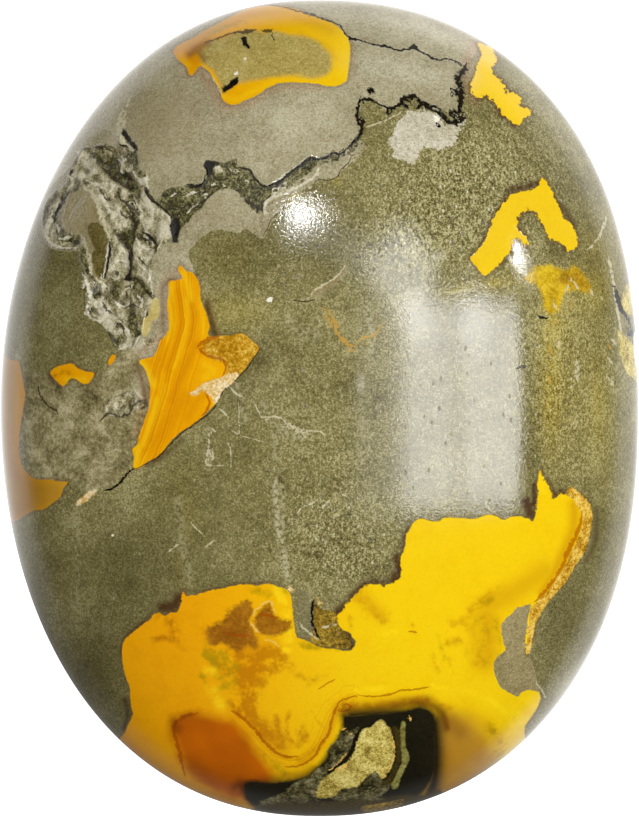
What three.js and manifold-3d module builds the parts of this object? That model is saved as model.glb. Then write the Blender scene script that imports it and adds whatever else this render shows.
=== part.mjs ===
// A polished palm stone: one solid pebble of banded jasper, lying on the small flat spot ground on its underside.
// +X is to the right, +Y along the stone and +Z up; the origin is in the middle of the flat spot, on the table.
// Its face is a low dome with a weathered, pitted pocket near one shoulder, an open crack and a chip in the rim.
import * as THREE from "three";
import { mergeVertices } from "three/addons/utils/BufferGeometryUtils.js";
import Module from "manifold-3d";

// Driving dimensions, in millimetres
const LENGTH = 64;
const WIDTH = 50;
const THICKNESS = 24;
const DOME_RISE = 12.6; // from the widest level up to the crown
const FLAT_SHARE = 0.34; // the flat spot's size as a share of the outline's

// The outline is a superellipse that is a little squarer to the right than to the left
const OUTLINE_EXPONENT = 2.21;
const OUTLINE_RIGHT = 0.13;
const OUTLINE_DIAGONAL = 0.035;

// A section is a superellipse too: across^DOME_ACROSS + up^DOME_UP = 1, fuller to the left
const DOME_ACROSS = 2.35;
const DOME_ACROSS_LEFT = 0.2;
const DOME_UP = 2.1;
const BASE_ACROSS = 2.5;
const BASE_UP = 2.2;

// How finely the pebble is faceted
const SEGMENTS = 84;
const RINGS = 38;

// Hollows of the weathered pocket, the broad floors first and then the pits in them, and of the small pit below
// the pocket: centre, size across and along, depth and turn
const HOLLOWS = [
  { x: -16.1, y: 18.6, across: 4.2, along: 5.6, depth: 0.3, turn: 35 },
  { x: -14.6, y: 14.0, across: 4.4, along: 6.4, depth: 0.35, turn: 20 },
  { x: -15.9, y: 9.0, across: 4.6, along: 6.2, depth: 0.35, turn: -8 },
  { x: -16.2, y: 19.7, across: 1.9, along: 1.6, depth: 0.55, turn: 20 },
  { x: -14.6, y: 17.0, across: 1.3, along: 2.2, depth: 0.65, turn: 30 },
  { x: -14.8, y: 12.4, across: 1.0, along: 3.4, depth: 0.8, turn: 4 },
  { x: -16.8, y: 9.4, across: 1.4, along: 1.8, depth: 0.6, turn: -35 },
  { x: -15.0, y: 7.9, across: 1.2, along: 1.8, depth: 0.55, turn: 30 },
  { x: -20.4, y: 15.4, across: 0.9, along: 3.6, depth: 0.3, turn: -22 },
  { x: -19.2, y: 12.9, across: 2.2, along: 0.9, depth: 0.3, turn: 12 },
  { x: -15.2, y: 0.4, across: 2.6, along: 1.1, depth: 0.35, turn: 30 },
];

// The open crack across the upper face, from the pocket to the top edge
const CRACK_WIDTH = 0.5;
const CRACK_POINTS = [
  [-11.5, 13.2],
  [-11.6, 14.8],
  [-12.2, 16.0],
  [-10.5, 17.1],
  [-8.9, 17.6],
  [-8.6, 19.0],
  [-6.7, 19.3],
  [-5.6, 18.4],
  [-4.4, 17.4],
  [-2.6, 18.1],
  [-0.6, 19.2],
  [2.0, 20.1],
  [3.0, 21.7],
  [3.3, 24.0],
  [4.7, 24.0],
  [5.4, 23.2],
  [6.6, 24.3],
  [8.2, 23.9],
  [9.5, 23.2],
  [10.2, 22.4],
  [11.2, 22.8],
  [11.5, 24.4],
  [10.9, 25.3],
  [11.3, 26.6],
];
const CRACK_STEPS = 64;

// The chip in the right-hand rim: its middle, its size along and up the rim, and its depth
const CHIP = { x: 24.9, y: 4.6, along: 3.0, up: 1.8, depth: 0.4 };

const EQUATOR = THICKNESS - DOME_RISE; // height of the widest level
const BASE_DROP = EQUATOR / (1 - FLAT_SHARE ** BASE_ACROSS) ** (1 / BASE_UP); // to the base before its flat is ground

// Distance from the axis to the outline in one direction
function outlineRadius(angle) {
  const exponent =
    OUTLINE_EXPONENT + OUTLINE_RIGHT * Math.cos(angle) + OUTLINE_DIAGONAL * Math.sin(2 * angle);
  const across = Math.abs(Math.cos(angle) / (WIDTH / 2)) ** exponent;
  const along = Math.abs(Math.sin(angle) / (LENGTH / 2)) ** exponent;
  return (across + along) ** (-1 / exponent);
}

// How full the dome is in one direction
function domeAcross(angle) {
  return DOME_ACROSS - DOME_ACROSS_LEFT * Math.cos(angle);
}

// Height of the dome above the table at a place on the face
function domeHeight(x, y) {
  const angle = Math.atan2(y, x);
  const share = Math.min(Math.hypot(x, y) / outlineRadius(angle), 1);
  return EQUATOR + DOME_RISE * (1 - share ** domeAcross(angle)) ** (1 / DOME_UP);
}

function onDome(x, y) {
  return new THREE.Vector3(x, y, domeHeight(x, y));
}

// The dome's outward direction at a place on the face
function domeNormal(x, y) {
  const step = 0.05;
  const across = onDome(x + step, y).sub(onDome(x - step, y));
  const along = onDome(x, y + step).sub(onDome(x, y - step));
  return across.cross(along).normalize();
}

// Moves one point of a unit sphere, whose pole is +Z, to the pebble's surface
function toPebble(point) {
  const polar = Math.acos(THREE.MathUtils.clamp(point.z, -1, 1));
  const angle = Math.atan2(point.y, point.x);
  const onTop = polar <= Math.PI / 2;
  const flatAt = Math.asin(FLAT_SHARE ** (BASE_ACROSS / 2));
  const lastRing = (Math.PI * (RINGS - 1)) / RINGS;
  // The rings below the equator end at the edge of the flat spot, whose middle is the lower pole
  const lower = THREE.MathUtils.mapLinear(polar, Math.PI / 2, lastRing, Math.PI / 2, Math.PI - flatAt);
  const turned = onTop ? polar : Math.min(lower, Math.PI);
  const shareExponent = 2 / (onTop ? domeAcross(angle) : BASE_ACROSS);
  const isPole = polar > lastRing + 1e-4;
  const share = isPole ? 0 : Math.sin(turned) ** shareExponent;
  const lift = Math.abs(Math.cos(turned)) ** (2 / (onTop ? DOME_UP : BASE_UP));
  const height = onTop ? EQUATOR + DOME_RISE * lift : EQUATOR - BASE_DROP * lift;
  const radius = share * outlineRadius(angle);
  const z = isPole || polar > lastRing - 1e-4 ? 0 : height;
  return new THREE.Vector3(radius * Math.cos(angle), radius * Math.sin(angle), z);
}

function pebbleGeometry() {
  const geometry = new THREE.SphereGeometry(1, SEGMENTS, RINGS).rotateX(Math.PI / 2);
  const position = geometry.getAttribute("position");
  for (let i = 0; i < position.count; i++) {
    const moved = toPebble(new THREE.Vector3().fromBufferAttribute(position, i));
    position.setXYZ(i, moved.x, moved.y, moved.z);
  }
  return geometry;
}

// A flattened ball that cuts a hollow of the given depth into a surface at a place with an outward direction
function hollowGeometry(place, outward, turn, across, along, depth) {
  const rise = 2 * depth; // half the ball's height: its middle is one depth above the surface
  const widen = 1 / Math.sqrt(1 - 0.5 ** 2); // so that the mouth has the size asked for
  const stand = new THREE.Quaternion().setFromUnitVectors(new THREE.Vector3(0, 0, 1), outward);
  return new THREE.IcosahedronGeometry(1, 2)
    .scale((across / 2) * widen, (along / 2) * widen, rise)
    .rotateZ(THREE.MathUtils.degToRad(turn))
    .applyQuaternion(stand)
    .translate(...place.clone().addScaledVector(outward, rise - depth).toArray());
}

// A rope of material along the crack, sunk by half its width, to be taken out of the pebble
function crackGeometry() {
  const path = new THREE.CatmullRomCurve3(
    CRACK_POINTS.map(([x, y]) => onDome(x, y)),
    false,
    "catmullrom",
    0.25,
  );
  const section = new THREE.Shape().absellipse(0, 0, CRACK_WIDTH / 2, CRACK_WIDTH / 2, 0, 2 * Math.PI);
  return new THREE.ExtrudeGeometry(section, {
    steps: CRACK_STEPS,
    curveSegments: 3,
    extrudePath: path,
    bevelEnabled: false,
  });
}

function chipGeometry() {
  const outward = new THREE.Vector3(1, 0, 0);
  const angle = Math.atan2(CHIP.y, CHIP.x);
  const edge = outlineRadius(angle);
  const place = new THREE.Vector3(edge * Math.cos(angle), edge * Math.sin(angle), EQUATOR);
  return hollowGeometry(place, outward, 0, CHIP.up, CHIP.along, CHIP.depth);
}

const wasm = await Module();
wasm.setup();

function toSolid(geometry) {
  const bare = geometry.clone();
  bare.deleteAttribute("normal");
  bare.deleteAttribute("uv");
  const merged = mergeVertices(bare, 1e-4);
  const index = merged.index.array;
  const corners = [];
  for (let i = 0; i < index.length; i += 3) {
    const [a, b, c] = index.slice(i, i + 3);
    if (a !== b && b !== c && c !== a) corners.push(a, b, c);
  }
  return new wasm.Manifold(
    new wasm.Mesh({
      numProp: 3,
      vertProperties: merged.getAttribute("position").array,
      triVerts: new Uint32Array(corners),
    }),
  );
}

function toGeometry(solid) {
  const mesh = solid.getMesh();
  const geometry = new THREE.BufferGeometry();
  geometry.setAttribute("position", new THREE.BufferAttribute(mesh.vertProperties, 3));
  geometry.setIndex(new THREE.BufferAttribute(mesh.triVerts, 1));
  geometry.computeVertexNormals();
  return geometry;
}

function stoneMesh() {
  const cutters = HOLLOWS.map((h) =>
    hollowGeometry(onDome(h.x, h.y), domeNormal(h.x, h.y), h.turn, h.across, h.along, h.depth),
  );
  cutters.push(crackGeometry(), chipGeometry());
  const solid = cutters.reduce((left, cutter) => left.subtract(toSolid(cutter)), toSolid(pebbleGeometry()));
  const polished = new THREE.MeshStandardMaterial({ color: 0x77745a, roughness: 0.22, metalness: 0 });
  const mesh = new THREE.Mesh(toGeometry(solid), polished);
  mesh.name = "palm_stone";
  return mesh;
}

const stone = new THREE.Group();
stone.add(stoneMesh());

export default stone;
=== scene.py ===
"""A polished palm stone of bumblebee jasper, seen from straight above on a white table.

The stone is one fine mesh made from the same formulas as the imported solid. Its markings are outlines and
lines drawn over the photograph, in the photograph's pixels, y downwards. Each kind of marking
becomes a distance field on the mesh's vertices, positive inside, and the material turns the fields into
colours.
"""

import math

import bpy
import numpy as np
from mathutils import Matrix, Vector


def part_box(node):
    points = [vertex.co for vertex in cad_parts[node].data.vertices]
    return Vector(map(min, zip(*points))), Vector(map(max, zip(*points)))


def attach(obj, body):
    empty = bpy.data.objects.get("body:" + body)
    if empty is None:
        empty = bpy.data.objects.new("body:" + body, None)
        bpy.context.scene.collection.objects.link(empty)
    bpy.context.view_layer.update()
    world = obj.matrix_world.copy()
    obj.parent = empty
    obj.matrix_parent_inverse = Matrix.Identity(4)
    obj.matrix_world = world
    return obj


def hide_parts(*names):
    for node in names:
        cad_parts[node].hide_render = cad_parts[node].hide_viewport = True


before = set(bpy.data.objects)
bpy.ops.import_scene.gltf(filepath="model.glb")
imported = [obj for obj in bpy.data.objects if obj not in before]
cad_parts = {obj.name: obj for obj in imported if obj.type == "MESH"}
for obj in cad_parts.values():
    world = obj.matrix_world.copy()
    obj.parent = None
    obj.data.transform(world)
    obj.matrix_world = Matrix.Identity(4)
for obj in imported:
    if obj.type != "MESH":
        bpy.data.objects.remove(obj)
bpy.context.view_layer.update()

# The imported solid's size, in metres, and the values of its formulas
LOW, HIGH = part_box("palm_stone")
HALF_WIDTH = (HIGH.x - LOW.x) / 2
HALF_LENGTH = (HIGH.y - LOW.y) / 2
THICKNESS = HIGH.z - LOW.z
DOME_RISE = 0.525 * THICKNESS
EQUATOR = THICKNESS - DOME_RISE
FLAT_SHARE = 0.34
OUTLINE_EXPONENT = 2.21
OUTLINE_RIGHT = 0.13
OUTLINE_DIAGONAL = 0.035
DOME_ACROSS = 2.35
DOME_ACROSS_LEFT = 0.2
DOME_UP = 2.1
BASE_ACROSS = 2.5
BASE_UP = 2.2
BASE_DROP = EQUATOR / (1 - FLAT_SHARE**BASE_ACROSS) ** (1 / BASE_UP)

# The mesh: rings of 6, 12, 18 ... vertices around the crown and around the middle of the flat spot, placed by
# so many samples of the stone's average section
DOME_RINGS = 162
BASE_RINGS = 78
SECTION_SAMPLES = 4000

# The photograph: its height and middle in pixels, the size of a pixel on the stone, and how high its eye is
PHOTO_HEIGHT = 816
PHOTO_MIDDLE = (319.5, 408.5)
PIXEL = 2 * HALF_LENGTH / PHOTO_HEIGHT
EYE_HEIGHT = 0.5
MM = 0.001

# In pixels: the fields are kept between -FAR and FAR, and a line is felt as far as LINE_REACH
FAR = 40.0
LINE_REACH = 16
# A line's width at its tips, as a share of its full width, and a stroke's reach in its widths
TIP_WIDTH = 0.35
STROKE_REACH = 2.5

# Below the widest level the markings slant and drift on down the side. For each pixel of depth they move by
# these pixels, and the drift stops growing at DRIFT_DEPTH
SLANT_ACROSS = 0.45
SLANT_DOWN = -0.35
DRIFT = 0.45
DRIFT_DEPTH = 90
DRIFT_LUMP = 11 * MM

# The underside shows the same drawing turned, enlarged, moved and drifting, so that it differs from the face
UNDER_TURN = math.radians(205)
UNDER_SCALE = 0.85
UNDER_SHIFT = (40, -30)
UNDER_DRIFT = 50
UNDER_LUMP = 9 * MM

# Shares of the way down from the widest level to the table. Between two of them the underside's drawing takes
# over, or lines fade. Zones of the face are whole as far as FACE_WHOLE and end unevenly below FACE_DEPTH
UNDER_BETWEEN = (0.25, 0.85)
FACE_DEPTH = 0.12
FACE_UNEVEN = 0.14
FACE_WHOLE = 0.04
FACE_BETWEEN = (0.03, 0.16)
LINES_BETWEEN = (0.1, 0.5)
# How far away faded lines seem, in half line widths
LINES_FADED = 8

# The photograph's columns between which the yellow grows brighter
SUN_BETWEEN = (170, 400)

# Relief in millimetres: the size of its lumps, and a chip in the right rim: its middle and half length along
# Y, its depth, and how far above and below the widest level it starts and is whole
RELIEF_LUMP = 1.6
CHIP_MIDDLE = 4.6
CHIP_HALF_LENGTH = 1.5
CHIP_DEPTH = 0.35
CHIP_HEIGHTS = (2.4, 0.6)

# Zones, as closed outlines in the photograph's pixels
ZONES = {
    # Pale greige rock across the top, and its margin down to the flame
    "ash": [
        [(28, 200), (40, 160), (60, 110), (100, 60), (160, 10), (250, -20), (350, -20), (430, -5), (486, 22),
         (480, 44), (472, 58), (465, 68), (459, 80), (461, 88), (456, 94), (459, 108), (450, 113), (440, 110),
         (432, 107), (423, 103), (418, 98), (407, 97), (402, 102), (398, 107), (390, 110), (380, 107),
         (377, 102), (370, 100), (360, 100), (361, 108), (358, 117), (357, 123), (362, 130), (354, 141),
         (364, 142), (363, 150), (357, 157), (350, 162), (343, 168), (337, 177), (327, 180), (317, 181),
         (311, 187), (303, 190), (296, 194), (290, 197), (285, 200), (284, 207), (280, 211), (275, 217),
         (271, 222), (269, 228), (267, 235), (262, 240), (253, 235), (247, 229), (239, 234), (233, 232),
         (228, 231), (217, 230), (209, 233), (202, 238), (195, 244), (189, 253), (190, 263), (194, 271),
         (190, 300), (175, 330), (160, 350), (154, 375), (152, 400), (143, 406), (136, 392), (137, 372),
         (128, 352), (131, 340), (135, 300), (135, 250), (125, 200), (110, 172), (92, 160), (70, 168),
         (48, 190)],
        [(44, 224), (48, 217), (51, 224), (55, 232), (57, 241), (66, 244), (76, 247), (82, 243), (86, 252),
         (90, 262), (92, 272), (88, 272), (83, 262), (79, 252), (64, 252), (51, 249), (45, 238)],
    ],
    # Mottled grey rock at the left
    "mottle": [
        [(14, 352), (20, 354), (24, 366), (33, 371), (42, 371), (50, 378), (60, 384), (75, 380), (90, 380),
         (99, 374), (106, 372), (113, 362), (118, 354), (126, 350), (133, 352), (140, 358), (147, 375),
         (152, 390), (150, 402), (148, 412), (142, 428), (139, 438), (135, 446), (131, 450), (131, 465),
         (126, 471), (120, 478), (117, 483), (110, 488), (104, 487), (99, 489), (93, 492), (88, 494),
         (82, 492), (77, 487), (73, 482), (60, 483), (50, 482), (36, 480), (29, 475), (20, 462), (8, 450),
         (4, 400), (8, 360)],
    ],
    # A paler island hanging from the crack
    "island": [
        [(407, 113), (420, 111), (430, 111), (440, 117), (445, 125), (457, 125), (465, 119), (466, 125),
         (458, 132), (458, 138), (453, 145), (445, 147), (440, 150), (430, 148), (423, 149), (418, 155),
         (413, 166), (407, 162), (400, 161), (393, 155), (395, 151), (392, 147), (387, 141), (393, 135),
         (395, 128), (398, 122), (402, 117)],
    ],
    # The wedge between the yellow lobes
    "slate": [
        [(297, 590), (307, 594), (311, 603), (312, 615), (313, 628), (317, 638), (306, 640), (299, 630),
         (297, 612)],
    ],
    # Sooty ground under the main crack
    "soot": [
        [(158, 200), (164, 192), (172, 188), (182, 188), (190, 184), (200, 187), (204, 180), (208, 176),
         (208, 170), (204, 165), (208, 161), (215, 162), (222, 164), (229, 161), (237, 160), (236, 166),
         (243, 167), (250, 169), (254, 177), (260, 184), (268, 187), (277, 184), (285, 178), (290, 172),
         (300, 165), (308, 158), (317, 160), (325, 158), (333, 153), (339, 155), (346, 151), (352, 145),
         (357, 139), (359, 142), (354, 149), (347, 155), (338, 161), (328, 163), (318, 166), (310, 172),
         (300, 180), (290, 184), (280, 189), (272, 194), (266, 202), (264, 213), (258, 212), (250, 206),
         (243, 199), (236, 192), (226, 189), (216, 192), (209, 198), (203, 206), (196, 212), (189, 220),
         (183, 227), (179, 234), (178, 242), (174, 244), (170, 240), (171, 228), (170, 220), (165, 212),
         (158, 207)],
    ],
    # The weathered, open pocket, and the small one below it
    "crust": [
        [(75, 160), (82, 150), (92, 146), (105, 144), (114, 146), (118, 140), (121, 131), (126, 128),
         (132, 141), (138, 151), (138, 168), (145, 177), (148, 186), (152, 200), (160, 207), (168, 214),
         (171, 224), (172, 240), (165, 244), (157, 248), (155, 256), (150, 265), (151, 275), (148, 283),
         (152, 292), (156, 299), (151, 303), (148, 310), (144, 318), (143, 326), (141, 335), (137, 341),
         (133, 347), (125, 352), (118, 350), (113, 345), (110, 335), (103, 328), (95, 320), (87, 318),
         (85, 308), (84, 296), (84, 285), (82, 272), (80, 262), (77, 252), (62, 250), (50, 246), (44, 236),
         (43, 222), (43, 212), (48, 200), (56, 192), (66, 184), (69, 172)],
        [(104, 414), (105, 405), (110, 400), (118, 396), (124, 392), (134, 391), (140, 396), (148, 402),
         (146, 410), (138, 408), (132, 414), (124, 418), (114, 417)],
    ],
    # The smooth beige lobe in the pocket, and the olive lenses in it
    "lobe": [
        [(70, 193), (78, 190), (86, 191), (92, 197), (96, 206), (99, 216), (103, 228), (106, 236), (108, 243),
         (106, 252), (104, 262), (101, 272), (99, 280), (94, 276), (90, 270), (88, 258), (84, 246), (80, 237),
         (74, 234), (66, 232), (60, 226), (56, 218), (55, 208), (60, 200)],
    ],
    "lens": [
        [(87, 226), (90, 223), (98, 223), (104, 230), (107, 238), (105, 247), (98, 250), (93, 248), (90, 240),
         (87, 233)],
        [(92, 251), (104, 248), (106, 256), (103, 266), (99, 278), (94, 274), (91, 262)],
    ],
    # Charred patches of the pocket and the soot, partly painted shade in their recesses
    "char_and_painted_shade": [
        [(88, 152), (96, 151), (100, 158), (106, 154), (114, 156), (116, 163), (118, 170), (123, 169),
         (129, 172), (130, 179), (125, 180), (132, 186), (136, 184), (134, 192), (128, 190), (120, 185),
         (113, 180), (107, 178), (104, 172), (98, 165), (92, 158)],
        [(124, 153), (137, 151), (138, 168), (134, 169), (130, 162), (124, 160)],
        [(137, 172), (144, 172), (147, 177), (138, 177)],
        [(75, 180), (78, 178), (80, 183), (77, 190), (71, 193), (72, 188), (76, 185)],
        [(48, 202), (49, 205), (46, 216), (43, 217), (44, 210)],
        [(56, 221), (59, 223), (60, 231), (64, 235), (70, 235), (77, 240), (78, 244), (74, 246), (66, 242),
         (58, 242), (55, 237)],
        [(119, 200), (126, 199), (126, 192), (130, 192), (133, 200), (139, 213), (135, 213), (127, 205)],
        [(112, 229), (118, 232), (124, 228), (131, 226), (132, 218), (136, 220), (134, 232), (146, 238),
         (156, 243), (158, 251), (155, 253), (150, 245), (138, 241), (132, 240), (130, 250), (124, 248),
         (116, 240)],
        [(127, 276), (133, 274), (142, 281), (150, 290), (156, 298), (152, 299), (142, 290), (133, 283)],
        [(90, 284), (95, 283), (98, 290), (98, 297), (92, 297), (89, 290)],
        [(79, 250), (83, 250), (88, 264), (92, 277), (87, 278), (82, 266)],
        [(108, 281), (116, 282), (118, 288), (112, 289)], [(112, 270), (118, 271), (118, 276), (113, 276)],
        [(112, 290), (118, 291), (116, 301), (111, 298)],
        [(128, 312), (137, 313), (138, 330), (143, 334), (134, 338), (126, 326)],
        [(114, 322), (119, 322), (119, 327), (114, 327)],
        [(108, 333), (118, 337), (124, 333), (122, 343), (115, 345), (112, 340)],
        [(155, 203), (160, 199), (168, 206), (173, 203), (180, 202), (190, 203), (200, 201), (206, 205),
         (196, 212), (190, 220), (184, 226), (179, 233), (178, 241), (174, 243), (170, 240), (172, 230),
         (171, 220), (166, 212), (158, 208)],
        [(163, 192), (172, 189), (184, 190), (190, 184), (202, 188), (204, 180), (210, 178), (213, 172),
         (216, 178), (224, 181), (218, 184), (212, 190), (206, 196), (198, 197), (190, 194), (178, 197),
         (170, 196)],
        [(222, 166), (229, 162), (238, 160), (236, 168), (244, 172), (240, 176), (231, 172), (224, 170)],
        [(243, 199), (250, 192), (249, 182), (258, 185), (266, 189), (278, 184), (290, 175), (300, 167),
         (308, 160), (318, 160), (326, 158), (334, 153), (340, 155), (350, 147), (357, 140), (358, 143),
         (351, 150), (342, 156), (334, 160), (322, 162), (312, 166), (305, 173), (296, 180), (285, 186),
         (275, 192), (268, 198), (265, 205), (264, 212), (258, 211), (250, 206)],
        [(627, 327), (634, 326), (640, 330), (636, 337), (628, 336)],
    ],
    # Pale crumbs and faces of the pocket and the soot: partly their own colour, partly painted light on the
    # faces, and a painted glint in the soot's hollow
    "chalk_and_painted_light": [
        [(70, 176), (72, 168), (78, 160), (76, 153), (84, 150), (90, 156), (94, 163), (92, 172), (84, 180),
         (78, 178), (72, 180)],
        [(84, 186), (92, 182), (100, 180), (108, 180), (116, 189), (112, 196), (118, 206), (124, 216),
         (122, 226), (112, 230), (108, 238), (103, 226), (99, 212), (94, 198)],
        [(139, 182), (147, 186), (150, 197), (158, 207), (167, 213), (171, 222), (172, 240), (165, 243),
         (158, 240), (150, 236), (142, 232), (138, 224), (140, 212), (142, 200), (139, 192)],
        [(133, 240), (142, 243), (152, 250), (154, 262), (150, 276), (146, 284), (138, 276), (132, 268),
         (131, 252)],
        [(93, 299), (100, 296), (104, 303), (112, 314), (121, 324), (119, 333), (112, 334), (104, 329),
         (97, 318), (91, 308)],
        [(124, 326), (129, 330), (130, 340), (131, 347), (122, 351), (117, 347), (125, 343)],
        [(110, 248), (120, 246), (123, 256), (124, 268), (118, 270), (108, 276), (106, 266)],
        [(114, 155), (124, 157), (119, 162)], [(137, 178), (148, 178), (146, 183)],
        [(142, 342), (150, 338), (158, 341), (155, 346), (143, 349)],
        # painted glint: the first speck on the line below, in the soot's hollow
        [(213, 166), (220, 166), (223, 171), (215, 172)], [(211, 183), (217, 182), (214, 189)],
        [(202, 194), (208, 193), (205, 198)],
        [(284, 184), (300, 180), (311, 179), (300, 187), (286, 191), (273, 199), (267, 208), (264, 216),
         (262, 206), (269, 197)],
    ],
    # Open depths, painted black: painted shade inside the hollows and fissures
    "gap": [
        [(121, 134), (123, 130), (126, 128), (129, 136), (134, 143), (138, 150), (135, 151), (129, 144),
         (125, 139)],
        [(125, 250), (131, 250), (131, 260), (131, 270), (128, 275), (133, 279), (128, 281), (122, 280),
         (122, 274), (125, 268), (124, 258)],
        [(170, 222), (177, 218), (180, 226), (178, 241), (174, 244), (171, 238)],
        [(204, 165), (207, 161), (214, 162), (222, 164), (213, 167), (212, 172), (208, 178), (206, 172)],
        [(613, 291), (617, 290), (620, 299), (622, 307), (624, 313), (621, 314), (617, 306)],
        [(222, 95), (222, 86), (227, 86), (232, 80), (238, 78), (237, 85), (230, 90)],
        [(241, 38), (246, 38), (248, 44), (251, 49), (247, 50), (243, 46)],
        [(627, 334), (634, 330), (636, 336), (629, 337)],
        [(367, 90), (371, 87), (375, 91), (374, 96), (369, 95)],
    ],
    # A yellow flake in the pocket's right side
    "flake": [
        [(151, 302), (156, 298), (159, 301), (160, 314), (157, 320), (151, 323), (150, 331), (146, 337),
         (142, 336), (143, 320), (148, 316)],
    ],
    # Yellow, orange and cream bands
    "yellow": [
        # the ring at the top
        [(173, 53), (180, 62), (187, 68), (190, 76), (195, 73), (198, 67), (203, 67), (210, 73), (215, 82),
         (220, 90), (222, 98), (228, 104), (237, 105), (243, 102), (253, 98), (262, 92), (270, 87), (283, 83),
         (300, 83), (317, 84), (327, 87), (337, 86), (344, 83), (347, 80), (349, 67), (350, 50), (348, 40),
         (342, 31), (330, 23), (313, 17), (300, 11), (287, 7), (270, 6), (253, 8), (240, 12), (225, 20),
         (212, 27), (195, 37), (183, 43), (175, 49)],
        # the streak at the top right, with its crumbs
        [(477, 43), (483, 45), (492, 48), (495, 55), (497, 62), (492, 67), (492, 72), (497, 78), (502, 82),
         (506, 92), (513, 93), (520, 97), (520, 103), (517, 105), (523, 108), (530, 110), (531, 115),
         (525, 118), (522, 123), (517, 127), (512, 123), (503, 116), (500, 111), (494, 102), (488, 97),
         (483, 98), (477, 98), (472, 93), (471, 85), (475, 75), (477, 65), (482, 55), (480, 50)],
        # the hook
        [(471, 259), (475, 253), (485, 240), (493, 220), (497, 212), (503, 204), (510, 196), (520, 193),
         (530, 191), (537, 187), (540, 183), (543, 177), (546, 182), (550, 188), (554, 197), (559, 207),
         (565, 220), (572, 225), (577, 237), (577, 247), (568, 251), (562, 244), (553, 240), (548, 238),
         (547, 232), (540, 222), (535, 213), (528, 210), (522, 213), (517, 220), (518, 230), (526, 237),
         (528, 240), (526, 247), (520, 240), (514, 238), (509, 253), (497, 267), (487, 276), (479, 271)],
        # the flame
        [(181, 265), (178, 270), (181, 275), (183, 279), (172, 281), (168, 282), (169, 291), (167, 303),
         (168, 315), (169, 325), (167, 334), (160, 341), (157, 350), (153, 357), (145, 359), (138, 362),
         (143, 367), (147, 375), (150, 385), (150, 397), (149, 410), (146, 416), (142, 428), (139, 438),
         (137, 446), (132, 449), (134, 457), (133, 469), (139, 469), (147, 463), (157, 457), (163, 452),
         (170, 443), (180, 433), (190, 427), (200, 420), (207, 413), (214, 406), (218, 398), (221, 390),
         (230, 385), (234, 381), (239, 376), (246, 368), (251, 361), (256, 355), (259, 349), (256, 345),
         (251, 341), (246, 336), (240, 334), (230, 336), (219, 336), (211, 338), (208, 334), (210, 328),
         (208, 319), (205, 311), (201, 301), (200, 288), (196, 277), (190, 272), (186, 272)],
        # the arc at the left, its tick, and two scraps by the pocket
        [(50, 374), (53, 369), (59, 366), (66, 365), (72, 364), (78, 369), (86, 372), (94, 373), (93, 378),
         (88, 384), (82, 384), (76, 380), (71, 379), (66, 384), (62, 387), (57, 382)],
        [(108, 363), (112, 355), (115, 355), (116, 358), (113, 363), (110, 366)],
        # the band on the left rim
        [(-4, 360), (12, 361), (19, 362), (21, 372), (23, 383), (25, 393), (24, 405), (21, 421), (19, 437),
         (18, 450), (20, 459), (23, 468), (29, 475), (36, 480), (50, 480), (60, 482), (69, 482), (64, 488),
         (60, 497), (52, 504), (43, 510), (33, 511), (26, 515), (18, 520), (8, 518), (-6, 480), (-10, 420)],
        # the great patch at the foot
        [(183, 592), (186, 596), (192, 597), (200, 594), (207, 591), (216, 590), (225, 588), (233, 586),
         (240, 585), (250, 585), (256, 587), (262, 585), (270, 584), (276, 587), (283, 588), (289, 592),
         (292, 600), (293, 615), (295, 630), (297, 638), (303, 640), (312, 644), (320, 648), (333, 649),
         (345, 651), (352, 650), (357, 641), (352, 638), (350, 632), (345, 632), (341, 629), (338, 625),
         (336, 617), (340, 614), (345, 608), (345, 605), (349, 602), (358, 593), (361, 589), (368, 586),
         (374, 585), (380, 586), (387, 587), (393, 583), (401, 579), (402, 576), (401, 566), (400, 558),
         (403, 553), (404, 549), (406, 545), (406, 536), (409, 532), (412, 525), (416, 521), (421, 519),
         (428, 521), (435, 522), (440, 521), (444, 518), (466, 519), (476, 519), (482, 517), (490, 515),
         (499, 518), (503, 520), (511, 517), (521, 517), (530, 519), (531, 522), (534, 522), (535, 515),
         (536, 508), (538, 500), (538, 480), (541, 470), (543, 478), (549, 488), (553, 498), (557, 498),
         (562, 494), (566, 496), (571, 497), (578, 499), (584, 506), (587, 513), (586, 524), (582, 537),
         (577, 548), (571, 559), (567, 569), (561, 581), (554, 590), (547, 598), (539, 605), (531, 640),
         (520, 660), (538, 692), (541, 697), (538, 707), (533, 714), (528, 722), (524, 732), (526, 760),
         (500, 810), (430, 845), (300, 850), (180, 830), (110, 770), (125, 733), (129, 723), (133, 715),
         (131, 705), (130, 695), (130, 688), (126, 678), (123, 668), (122, 655), (123, 643), (129, 636),
         (135, 631), (143, 625), (151, 620), (153, 614), (159, 613), (166, 616), (172, 613), (178, 612),
         (181, 603), (181, 597)],
    ],
    # Tan rock inside the ring
    "core": [
        [(203, 62), (200, 52), (210, 43), (225, 37), (240, 33), (253, 32), (270, 32), (287, 35), (303, 38),
         (317, 42), (325, 50), (331, 57), (331, 67), (328, 73), (320, 77), (303, 76), (283, 76), (270, 78),
         (260, 79), (245, 82), (237, 83), (227, 91), (222, 93), (221, 85), (218, 78), (212, 68)],
    ],
    # Burnt patches in the yellow
    "umber": [
        [(247, 601), (240, 604), (232, 609), (227, 615), (222, 621), (215, 624), (208, 628), (207, 635),
         (210, 643), (216, 646), (222, 643), (228, 647), (236, 652), (243, 649), (248, 646), (255, 650),
         (258, 645), (256, 638), (252, 630), (250, 622), (253, 613), (251, 604)],
        [(270, 603), (262, 608), (256, 615), (254, 623), (257, 630), (263, 635), (272, 636), (282, 634),
         (290, 630), (292, 622), (283, 620), (277, 617), (273, 611)],
    ],
    # The bronze notch beside the wedge
    "bronze": [
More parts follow.
